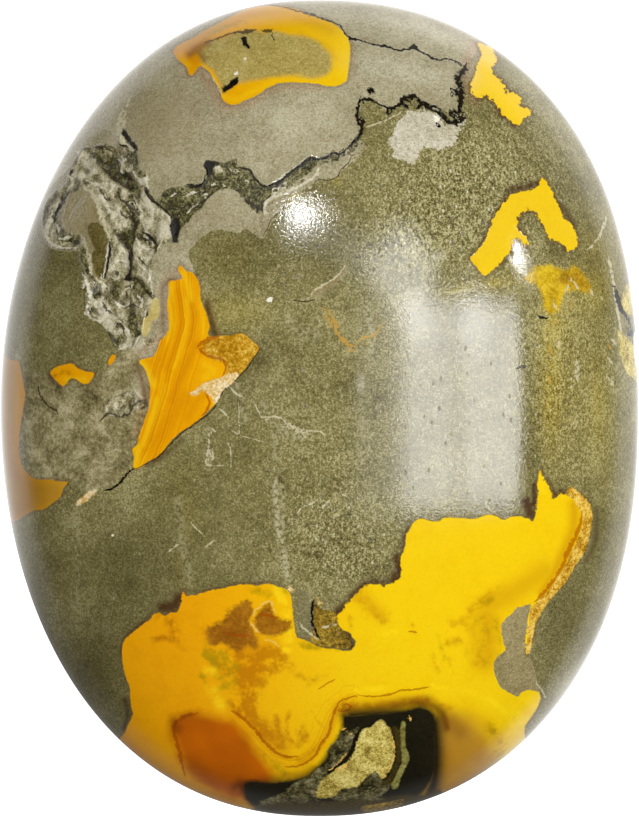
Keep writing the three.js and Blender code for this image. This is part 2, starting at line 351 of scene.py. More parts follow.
        [(360, 808), (373, 805), (386, 803), (398, 800), (406, 800), (400, 806), (388, 811), (374, 814),
         (363, 813)],
        [(313, 600), (318, 606), (322, 610), (335, 613), (338, 625), (345, 632), (351, 640), (349, 649),
         (335, 648), (320, 647), (311, 640), (313, 625)],
    ],
    # Tan ground to the right of the black foot, and the faded band on the left rim
    "tan": [
        [(420, 722), (456, 718), (476, 730), (490, 748), (496, 772), (492, 812), (425, 824), (420, 780),
         (418, 750)],
        [(-10, 350), (10, 356), (19, 364), (21, 378), (22, 405), (20, 430), (18, 450), (28, 470), (46, 478),
         (66, 480), (60, 500), (44, 512), (24, 520), (-10, 500)],
    ],
    # The gold curl beside the flame
    "curl": [
        [(204, 342), (219, 337), (240, 334), (251, 341), (259, 349), (254, 358), (246, 368), (238, 378),
         (230, 385), (223, 389), (225, 378), (226, 368), (222, 362), (212, 359), (203, 352)],
    ],
    # The olive strip under the foot
    "verge": [
        [(255, 808), (280, 803), (320, 803), (350, 800), (380, 800), (400, 795), (425, 796), (440, 790),
         (436, 825), (300, 832), (250, 824)],
        [(392, 727), (399, 729), (401, 738), (402, 750), (402, 758), (399, 768), (394, 778), (390, 786),
         (383, 785), (389, 775), (394, 765), (396, 755), (395, 742)],
    ],
    # The orange-brown fold at the lower left
    "rust": [
        [(197, 714), (215, 718), (230, 722), (241, 730), (248, 741), (257, 753), (264, 764), (272, 777),
         (262, 795), (234, 800), (206, 786), (188, 770), (180, 754), (176, 743), (171, 728), (175, 720),
         (185, 716)],
    ],
    # Cream mineral: the curl's tail, ticks and the strip on the lower right rim
    "cream": [
        [(228, 374), (236, 372), (240, 374), (234, 382), (224, 388), (219, 397), (215, 405), (213, 399),
         (210, 396), (205, 392), (200, 393), (194, 396), (189, 394), (196, 390), (201, 385), (208, 382),
         (215, 380), (222, 378)],
        [(75, 506), (80, 498), (86, 494), (96, 491), (90, 499), (82, 504)],
        [(287, 586), (293, 588), (294, 592), (288, 592)], [(316, 597), (321, 600), (323, 607), (319, 606)],
    ],
    # Black rock at the foot
    "ebony": [
        [(341, 715), (352, 714), (365, 713), (380, 712), (395, 710), (405, 709), (413, 707), (421, 706),
         (430, 709), (436, 715), (438, 724), (437, 740), (438, 755), (438, 768), (432, 784), (420, 798),
         (400, 812), (340, 830), (290, 830), (250, 806), (243, 794), (243, 783), (252, 780), (262, 781),
         (275, 781), (290, 779), (303, 776), (314, 769), (320, 763), (325, 756), (329, 748), (336, 740),
         (341, 728)],
    ],
    # Khaki mineral in the black, two flakes of it beside the chip in the right rim, and the green band
    "khaki": [
        [(620, 305), (623, 299), (625, 288), (629, 284), (634, 295), (640, 318), (628, 315), (624, 309)],
        [(617, 330), (622, 333), (627, 339), (634, 346), (642, 352), (642, 384), (634, 380), (629, 375),
         (624, 366), (621, 356), (619, 344)],
        [(384, 721), (377, 722), (373, 727), (366, 729), (361, 732), (357, 738), (354, 746), (350, 758),
         (345, 763), (338, 768), (330, 774), (322, 780), (319, 787), (316, 798), (325, 799), (335, 796),
         (341, 790), (350, 788), (360, 786), (366, 778), (372, 773), (377, 771), (380, 779), (386, 777),
         (391, 768), (394, 758), (394, 748), (392, 738), (391, 729), (386, 727)],
    ],
    "reed": [
        [(401, 723), (405, 722), (405, 735), (406, 748), (409, 756), (409, 761), (405, 769), (401, 777),
         (397, 789), (391, 788), (394, 780), (398, 771), (402, 762), (401, 748), (400, 734)],
    ],
    # Speckled ground along the lower rim, and the grey lens in the black
    "moss": [
        [(343, 729), (352, 731), (357, 727), (359, 729), (355, 737), (353, 745), (350, 752), (344, 760),
         (335, 767), (328, 770), (324, 766), (328, 760), (327, 755), (329, 748), (334, 744), (338, 739),
         (340, 732)],
        [(340, 790), (350, 788), (360, 786), (367, 778), (374, 772), (380, 779), (385, 781), (391, 785),
         (386, 792), (378, 798), (360, 801), (340, 801), (330, 799)],
        [(262, 802), (275, 797), (283, 793), (290, 787), (298, 782), (306, 778), (314, 773), (322, 768),
         (329, 773), (322, 784), (316, 793), (322, 803), (340, 803), (380, 798), (398, 800), (380, 815),
         (300, 822), (258, 812)],
    ],
    # Grey-violet inclusion and a leaf-like shape near the middle
    "violet": [
        [(524, 606), (518, 608), (512, 614), (506, 619), (502, 625), (501, 632), (503, 640), (505, 648),
         (503, 653), (497, 657), (494, 663), (494, 673), (497, 681), (501, 688), (508, 693), (517, 697),
         (520, 694), (527, 691), (533, 691), (538, 692), (539, 686), (536, 678), (535, 668), (532, 659),
         (526, 656), (524, 652), (526, 642), (527, 632), (528, 620), (530, 610), (533, 604)],
        [(309, 299), (314, 291), (322, 287), (331, 281), (338, 276), (343, 269), (348, 264), (349, 268),
         (343, 277), (336, 285), (327, 292), (318, 297)],
    ],
    # The ochre vein down the right side
    "ochre": [
        [(570, 487), (580, 494), (588, 501), (592, 511), (592, 521), (589, 537), (585, 552), (575, 567),
         (567, 581), (553, 597), (541, 613), (535, 627), (532, 642), (530, 651), (526, 656), (526, 645),
         (529, 630), (529, 617), (533, 606), (546, 594), (555, 582), (565, 566), (573, 549), (581, 530),
         (583, 519), (579, 509), (573, 500), (566, 494)],
    ],
    # Diffuse yellow smudge below the hook
    "smudge": [
        [(528, 280), (532, 272), (540, 268), (552, 268), (562, 272), (570, 270), (575, 267), (581, 273),
         (587, 282), (591, 291), (584, 292), (576, 289), (568, 291), (562, 294), (560, 303), (556, 311),
         (550, 313), (545, 306), (543, 296), (540, 288), (533, 283)],
    ],
}

# Zones that end below the widest level
FACE_ONLY = (
    "soot", "crust", "lobe", "lens", "char_and_painted_shade", "chalk_and_painted_light", "gap", "flake", "core", "umber", "khaki", "reed",
    "moss", "verge", "violet", "cream",
)

# Lines, as open paths in the photograph's pixels, each with half its width
LINES = {
    # Open cracks and dark seams; the open cracks' near-black is painted shade inside them
    "crack_with_painted_shade": [
        (0.9, [(340, 26), (345, 34), (351, 39), (358, 40), (370, 44), (385, 47), (398, 51), (404, 50),
               (412, 49), (418, 51), (426, 55), (434, 59), (440, 61), (447, 59), (456, 62), (466, 66)]),
        (1.7, [(348, 37), (352, 40), (357, 40)]), (1.5, [(409, 50), (414, 46), (418, 51)]),
        (1.4, [(379, 46), (386, 47), (392, 49)]), (1.3, [(428, 56), (434, 59), (438, 60)]),
        (1.6, [(360, 99), (370, 100), (377, 104)]),
        (1.4, [(377, 104), (385, 107), (392, 109), (398, 106), (402, 101)]), (2.0, [(386, 110), (388, 115)]),
        (2.2, [(399, 101), (406, 98), (412, 97), (418, 98)]), (2.4, [(402, 103), (408, 108)]),
        (1.9, [(418, 98), (421, 104), (417, 109)]), (1.3, [(419, 100), (428, 105), (437, 108), (442, 111)]),
        (0.9, [(423, 107), (431, 110), (438, 113), (442, 117)]),
        (3.0, [(440, 112), (444, 119), (451, 123), (459, 122), (465, 118)]), (2.6, [(449, 113), (457, 112)]),
        (3.1, [(459, 115), (460, 104), (461, 96), (460, 88), (457, 80), (463, 72), (466, 66)]),
        (2.0, [(452, 90), (459, 94)]),
        (1.8, [(360, 99), (358, 108), (357, 117), (359, 123), (362, 128), (360, 134), (355, 141),
               (348, 148)]),
        (2.4, [(364, 121), (361, 125)]), (1.3, [(436, 126), (440, 127)]),
        (1.3, [(348, 148), (340, 155), (333, 153), (325, 158), (317, 160), (310, 158), (303, 164), (290, 173),
               (284, 179), (276, 184), (266, 187), (259, 184), (253, 176), (249, 170), (239, 168)]),
        (1.5, [(205, 178), (203, 184), (196, 187), (188, 185)]), (1.3, [(154, 202), (162, 208), (170, 216)]),
        # painted shadow: the line below runs under the mottled rock's lower right edge
        (1.1, [(104, 491), (112, 489), (118, 485), (124, 478), (130, 471), (134, 469)]),
        (1.2, [(613, 286), (615, 288)]), (1.5, [(619, 305), (622, 311), (626, 316), (630, 326)]),
        (1.2, [(140, 231), (148, 236), (155, 242)]), (0.9, [(118, 144), (123, 145), (128, 147)]),
        (1.3, [(70, 191), (62, 198), (56, 206), (52, 214), (51, 222)]), (1.0, [(72, 169), (70, 176)]),
        (1.2, [(108, 242), (109, 250), (107, 258), (105, 268), (101, 278)]),
        (1.2, [(144, 188), (148, 197), (154, 203)]), (1.3, [(538, 316), (543, 319), (548, 318)]),
        (0.8, [(516, 369), (522, 367), (527, 367)]), (1.4, [(313, 600), (312, 615), (313, 627), (320, 640)]),
        (2.2, [(359, 731), (355, 742), (351, 753), (344, 762), (334, 769)]),
    ],
    # Dark brown seams, and painted shade in the creases of the pocket and elsewhere
    "furrow_and_painted_shade": [
        (0.8, [(134, 470), (147, 464), (157, 458), (164, 452), (171, 444), (181, 434), (191, 427), (201, 420),
               (209, 414), (215, 407), (219, 398), (226, 388), (234, 382), (240, 376), (247, 369), (252, 361),
               (257, 354), (260, 349)]),
        (0.8, [(268, 5), (285, 8), (300, 12), (320, 18), (343, 27)]),
        (1.2, [(303, 13), (311, 15), (319, 18)]),
        (1.0, [(205, 43), (215, 40), (225, 36), (235, 33), (245, 31), (256, 30)]),
        (1.8, [(238, 33), (247, 32), (254, 31)]), (1.6, [(262, 31), (268, 32), (272, 30)]),
        (0.7, [(270, 33), (273, 38), (275, 42)]),
        (0.5, [(262, 238), (268, 228), (271, 220), (278, 214), (284, 207), (285, 200)]),
        (0.5, [(300, 193), (311, 190), (317, 180), (327, 181), (337, 178), (341, 170), (349, 163), (352, 156),
               (361, 153)]),
        (0.9, [(38, 386), (40, 395), (45, 403), (50, 408), (55, 410), (58, 415)]),
        (1.0, [(99, 422), (106, 416), (110, 413), (118, 417), (128, 415), (132, 408), (138, 402),
               (147, 400)]),
        (0.7, [(292, 300), (300, 302), (308, 302), (316, 299)]), (1.2, [(119, 144), (125, 146), (130, 149)]),
        (1.0, [(93, 147), (102, 146), (108, 149)]), (1.3, [(113, 176), (118, 182), (124, 186), (130, 186)]),
        (1.2, [(120, 198), (126, 204), (132, 208), (138, 214)]), (1.2, [(126, 206), (129, 212), (128, 218)]),
        (1.2, [(118, 209), (120, 214), (126, 218)]), (1.2, [(113, 233), (119, 236), (122, 244), (130, 248)]),
        (1.0, [(153, 240), (156, 248), (155, 253)]), (1.2, [(136, 232), (142, 238), (150, 240), (156, 244)]),
        (1.0, [(106, 196), (107, 200)]), (1.0, [(145, 187), (150, 196), (156, 203)]),
        (1.6, [(128, 226), (134, 222), (132, 232)]), (1.4, [(116, 323), (121, 326), (124, 334)]),
        (1.2, [(109, 333), (114, 340), (118, 348)]), (1.2, [(100, 302), (105, 310), (110, 314)]),
        (1.2, [(128, 284), (130, 288)]), (1.2, [(133, 276), (142, 286), (152, 298)]),
        (1.0, [(115, 186), (117, 196), (122, 202)]), (1.0, [(97, 186), (101, 193), (104, 200)]),
        (1.0, [(136, 256), (141, 262), (146, 266)]), (1.0, [(124, 306), (131, 304), (137, 308)]),
        (1.3, [(148, 312), (146, 318), (142, 322)]), (1.2, [(98, 166), (106, 172), (112, 180)]),
        (1.2, [(122, 168), (126, 176), (132, 180)]),
        (1.0, [(204, 178), (210, 173), (214, 177), (222, 180), (228, 178)]),
        (1.0, [(225, 165), (230, 172), (238, 176)]), (1.2, [(160, 201), (170, 206), (176, 210)]),
        (1.0, [(188, 204), (180, 210), (176, 218)]), (1.2, [(244, 200), (254, 206), (262, 210)]),
        (1.2, [(214, 192), (206, 199), (198, 205), (190, 212)]), (1.0, [(262, 192), (272, 188), (284, 184)]),
    ],
    # Pale ridges of the pocket and the soot, partly painted light on the ridges, with painted glints on the
    # soot's hollow
    "ridge_and_painted_light": [
        (1.4, [(77, 152), (81, 158), (84, 164), (90, 170)]), (1.2, [(113, 156), (118, 159), (124, 158)]),
        (1.0, [(118, 153), (119, 161)]), (1.3, [(122, 140), (126, 146), (131, 150), (135, 149)]),
        (1.4, [(139, 180), (146, 179), (147, 175)]), (1.0, [(145, 184), (149, 189)]),
        (1.0, [(130, 193), (133, 200), (138, 207), (141, 212)]), (1.0, [(125, 202), (130, 206), (136, 212)]),
        (2.0, [(110, 183), (114, 189)]), (1.5, [(98, 196), (104, 203), (108, 210), (112, 214)]),
        (1.8, [(118, 212), (121, 218)]), (2.2, [(114, 221), (118, 228)]),
        (1.2, [(134, 237), (140, 246), (150, 249)]), (0.8, [(142, 236), (150, 241), (154, 246)]),
        (1.0, [(120, 160), (118, 168), (120, 172)]), (1.2, [(131, 170), (135, 176)]),
        (1.3, [(85, 180), (95, 184), (105, 182)]), (1.4, [(68, 176), (72, 180), (70, 186), (66, 190)]),
        (1.3, [(58, 200), (53, 207), (50, 216), (47, 226), (46, 236), (52, 245), (62, 248), (74, 248)]),
        (1.2, [(52, 224), (56, 226), (57, 232)]), (1.4, [(58, 239), (63, 238), (69, 237)]),
        (1.3, [(82, 273), (86, 282), (88, 292), (90, 300), (96, 302), (101, 297)]),
        (0.8, [(83, 288), (85, 280)]), (1.6, [(92, 276), (98, 282), (101, 286)]),
        (0.8, [(98, 285), (99, 294)]), (1.1, [(88, 300), (86, 308), (86, 314), (92, 319), (100, 322)]),
        (2.0, [(91, 301), (98, 310), (106, 318), (112, 324)]), (2.4, [(100, 303), (102, 306)]),
        (2.6, [(106, 324), (110, 330)]), (1.3, [(114, 331), (119, 335)]),
        (1.6, [(118, 321), (123, 326), (127, 333), (129, 340), (126, 346), (119, 350)]),
        (1.0, [(107, 276), (115, 279), (118, 272)]), (0.9, [(104, 285), (106, 295)]),
        (1.2, [(112, 262), (120, 258), (123, 262)]), (1.3, [(120, 290), (128, 288), (131, 284)]),
        (1.8, [(120, 294), (123, 292)]), (1.0, [(136, 262), (142, 268), (148, 272), (151, 284), (153, 295)]),
        (1.0, [(108, 242), (106, 256), (103, 268), (100, 280)]), (1.2, [(136, 296), (142, 302), (139, 309)]),
        (1.0, [(112, 300), (118, 306), (126, 302)]), (1.2, [(141, 222), (144, 230), (148, 234)]),
        (1.6, [(264, 214), (265, 205), (270, 200), (280, 195), (290, 191), (300, 186)]),
        (1.2, [(300, 186), (310, 181), (317, 174), (319, 168)]), (1.8, [(212, 186), (215, 183)]),
        # painted glints: the stroke from (213, 167) on the line below and the one from (228, 168) on the next
        (1.6, [(203, 195), (207, 194)]), (1.6, [(213, 167), (218, 167), (222, 171)]),
        (1.0, [(236, 169), (239, 173)]), (0.9, [(228, 168), (232, 172)]), (1.0, [(244, 180), (249, 182)]),
        (1.0, [(222, 184), (226, 188)]), (1.2, [(182, 197), (190, 194), (197, 192)]),
        (0.9, [(270, 191), (278, 187), (286, 182)]), (0.9, [(170, 197), (176, 193)]),
        (0.8, [(186, 214), (192, 208), (200, 204)]),
    ],
    # Pale scratches, seams and crystals
    "pale": [
        (0.9, [(230, 388), (236, 394), (245, 399)]), (0.9, [(219, 409), (224, 413), (228, 418)]),
        (1.0, [(281, 427), (288, 428), (296, 432), (303, 435), (307, 440)]),
        (0.9, [(262, 418), (272, 417), (280, 418), (286, 423), (296, 428), (306, 431), (320, 432),
               (324, 436)]),
        (0.6, [(254, 403), (258, 411), (263, 419), (271, 426)]),
        (0.8, [(209, 432), (209, 445), (207, 456), (206, 465), (214, 466), (225, 466)]),
        (0.7, [(213, 448), (213, 462)]), (0.9, [(212, 429), (216, 433)]),
        (0.6, [(227, 443), (230, 448), (231, 460), (231, 470)]),
        (0.5, [(230, 430), (240, 436), (252, 439), (265, 443)]),
        (0.5, [(238, 400), (239, 412), (239, 425), (240, 435)]),
        (0.8, [(296, 515), (302, 508), (310, 505), (318, 500)]), (1.1, [(329, 501), (324, 506), (322, 509)]),
        (1.1, [(342, 495), (347, 498)]), (0.5, [(190, 522), (197, 530), (205, 537)]),
        (0.7, [(168, 553), (175, 547), (180, 544)]), (0.6, [(205, 548), (212, 543), (216, 540)]),
        (0.8, [(308, 300), (314, 291), (326, 284), (337, 277), (347, 264)]),
        (1.3, [(608, 256), (610, 265), (612, 275), (614, 285), (616, 300), (618, 312), (620, 325),
               (622, 340)]),
        (1.2, [(588, 250), (595, 243), (601, 234), (604, 225), (606, 217)]),
        (0.8, [(365, 128), (380, 123), (392, 118), (402, 112)]),
        (1.0, [(299, 622), (303, 628), (309, 633), (317, 640)]), (1.3, [(323, 628), (331, 626), (338, 623)]),
        (2.0, [(81, 236), (84, 245), (87, 255), (90, 265), (90, 274)]),
        (1.8, [(84, 187), (92, 195), (97, 205), (100, 215), (104, 228), (108, 240)]),
        (1.2, [(612, 340), (616, 346)]), (1.5, [(607, 376), (610, 381), (613, 386)]),
        (1.1, [(608, 358), (612, 364)]), (2.0, [(577, 362), (578, 371), (577, 380)]),
        (1.1, [(571, 279), (573, 283)]), (1.3, [(575, 283), (578, 289)]), (0.9, [(568, 286), (565, 295)]),
        (0.9, [(590, 289), (593, 296)]), (0.8, [(600, 297), (603, 300)]), (1.0, [(553, 300), (556, 310)]),
        (0.9, [(560, 340), (557, 350)]), (2.4, [(122, 112), (119, 124), (120, 136), (126, 145), (134, 150)]),
        (0.8, [(124, 128), (126, 110), (130, 98)]), (0.9, [(212, 77), (217, 85), (221, 94)]),
        (0.9, [(157, 252), (160, 244), (163, 238)]), (0.6, [(135, 80), (137, 74)]),
        (0.7, [(150, 63), (154, 60)]),
        (1.0, [(253, 617), (255, 611), (261, 606), (268, 602), (271, 602), (273, 608), (277, 616)]),
        (1.0, [(250, 622), (254, 628), (259, 633)]), (0.8, [(264, 640), (273, 642), (280, 648)]),
        (0.9, [(536, 682), (541, 690), (546, 699)]), (0.9, [(349, 763), (342, 769), (334, 774)]),
        (0.9, [(347, 753), (341, 761), (335, 767), (328, 771)]),
        (0.8, [(392, 736), (394, 748), (394, 758), (390, 769)]), (1.5, [(409, 717), (410, 721)]),
        (1.4, [(381, 771), (387, 772), (384, 778)]), (1.2, [(342, 730), (346, 729)]),
        (1.2, [(350, 735), (353, 734)]),
    ],
    # Thin ochre veins in the olive rock
    "gilt": [
        (1.8, [(331, 314), (334, 321), (336, 329), (340, 338), (348, 345), (355, 347)]),
        (0.9, [(321, 308), (328, 311), (333, 318)]),
        (1.0, [(357, 343), (363, 338), (371, 337), (377, 332), (382, 323)]),
        (0.8, [(323, 315), (329, 322), (331, 331)]), (0.8, [(345, 349), (350, 352), (357, 350)]),
        (0.9, [(556, 318), (552, 327)]), (1.0, [(549, 346), (552, 355)]), (0.9, [(551, 376), (549, 385)]),
        (0.8, [(546, 403), (549, 411)]), (1.0, [(608, 343), (611, 350)]), (0.9, [(572, 300), (570, 310)]),
    ],
    # Burnt orange folds in the yellow
    "fold": [
        (1.3, [(357, 696), (350, 698), (344, 700), (340, 702), (337, 707), (334, 713), (331, 722), (330, 730),
               (326, 738), (320, 746), (316, 755), (308, 762), (297, 767), (285, 767)]),
        (0.9, [(357, 696), (375, 697), (390, 695), (400, 691), (415, 690), (431, 687)]),
        (1.6, [(232, 711), (243, 719), (252, 727), (262, 739), (272, 750), (284, 757), (297, 757)]),
        (2.0, [(197, 714), (190, 715), (184, 717), (177, 722), (174, 728), (174, 735), (177, 743), (180, 754),
               (182, 765), (185, 776)]),
        (0.8, [(318, 690), (327, 684), (335, 680)]),
        (2.2, [(582, 513), (581, 522), (577, 534), (572, 545), (566, 556), (563, 566), (557, 578), (550, 586),
               (543, 594), (535, 602)]),
        (1.8, [(198, 347), (203, 342), (211, 339), (219, 337)]),
        (1.4, [(199, 350), (205, 355), (214, 358), (224, 360)]),
        (1.2, [(205, 393), (209, 400), (208, 409), (202, 416)]),
        (1.0, [(223, 632), (232, 635), (243, 636), (251, 636)]), (1.0, [(256, 615), (270, 616), (279, 619)]),
        (1.0, [(346, 704), (352, 708), (346, 711), (339, 712)]), (1.0, [(408, 632), (417, 633)]),
        (0.8, [(222, 378), (226, 368), (222, 360)]),
    ],
}

# Lines that the streaks of the flame and of the great patch run along, each with how far the streaks reach
FLOW_LINES = [
    (1.0, [(178, 276), (180, 300), (183, 320), (178, 345), (170, 370), (164, 395), (158, 415), (150, 440),
           (138, 465)]),
    (0.3, [(232, 712), (252, 734), (275, 757), (300, 760), (318, 744), (330, 715), (350, 698)]),
]

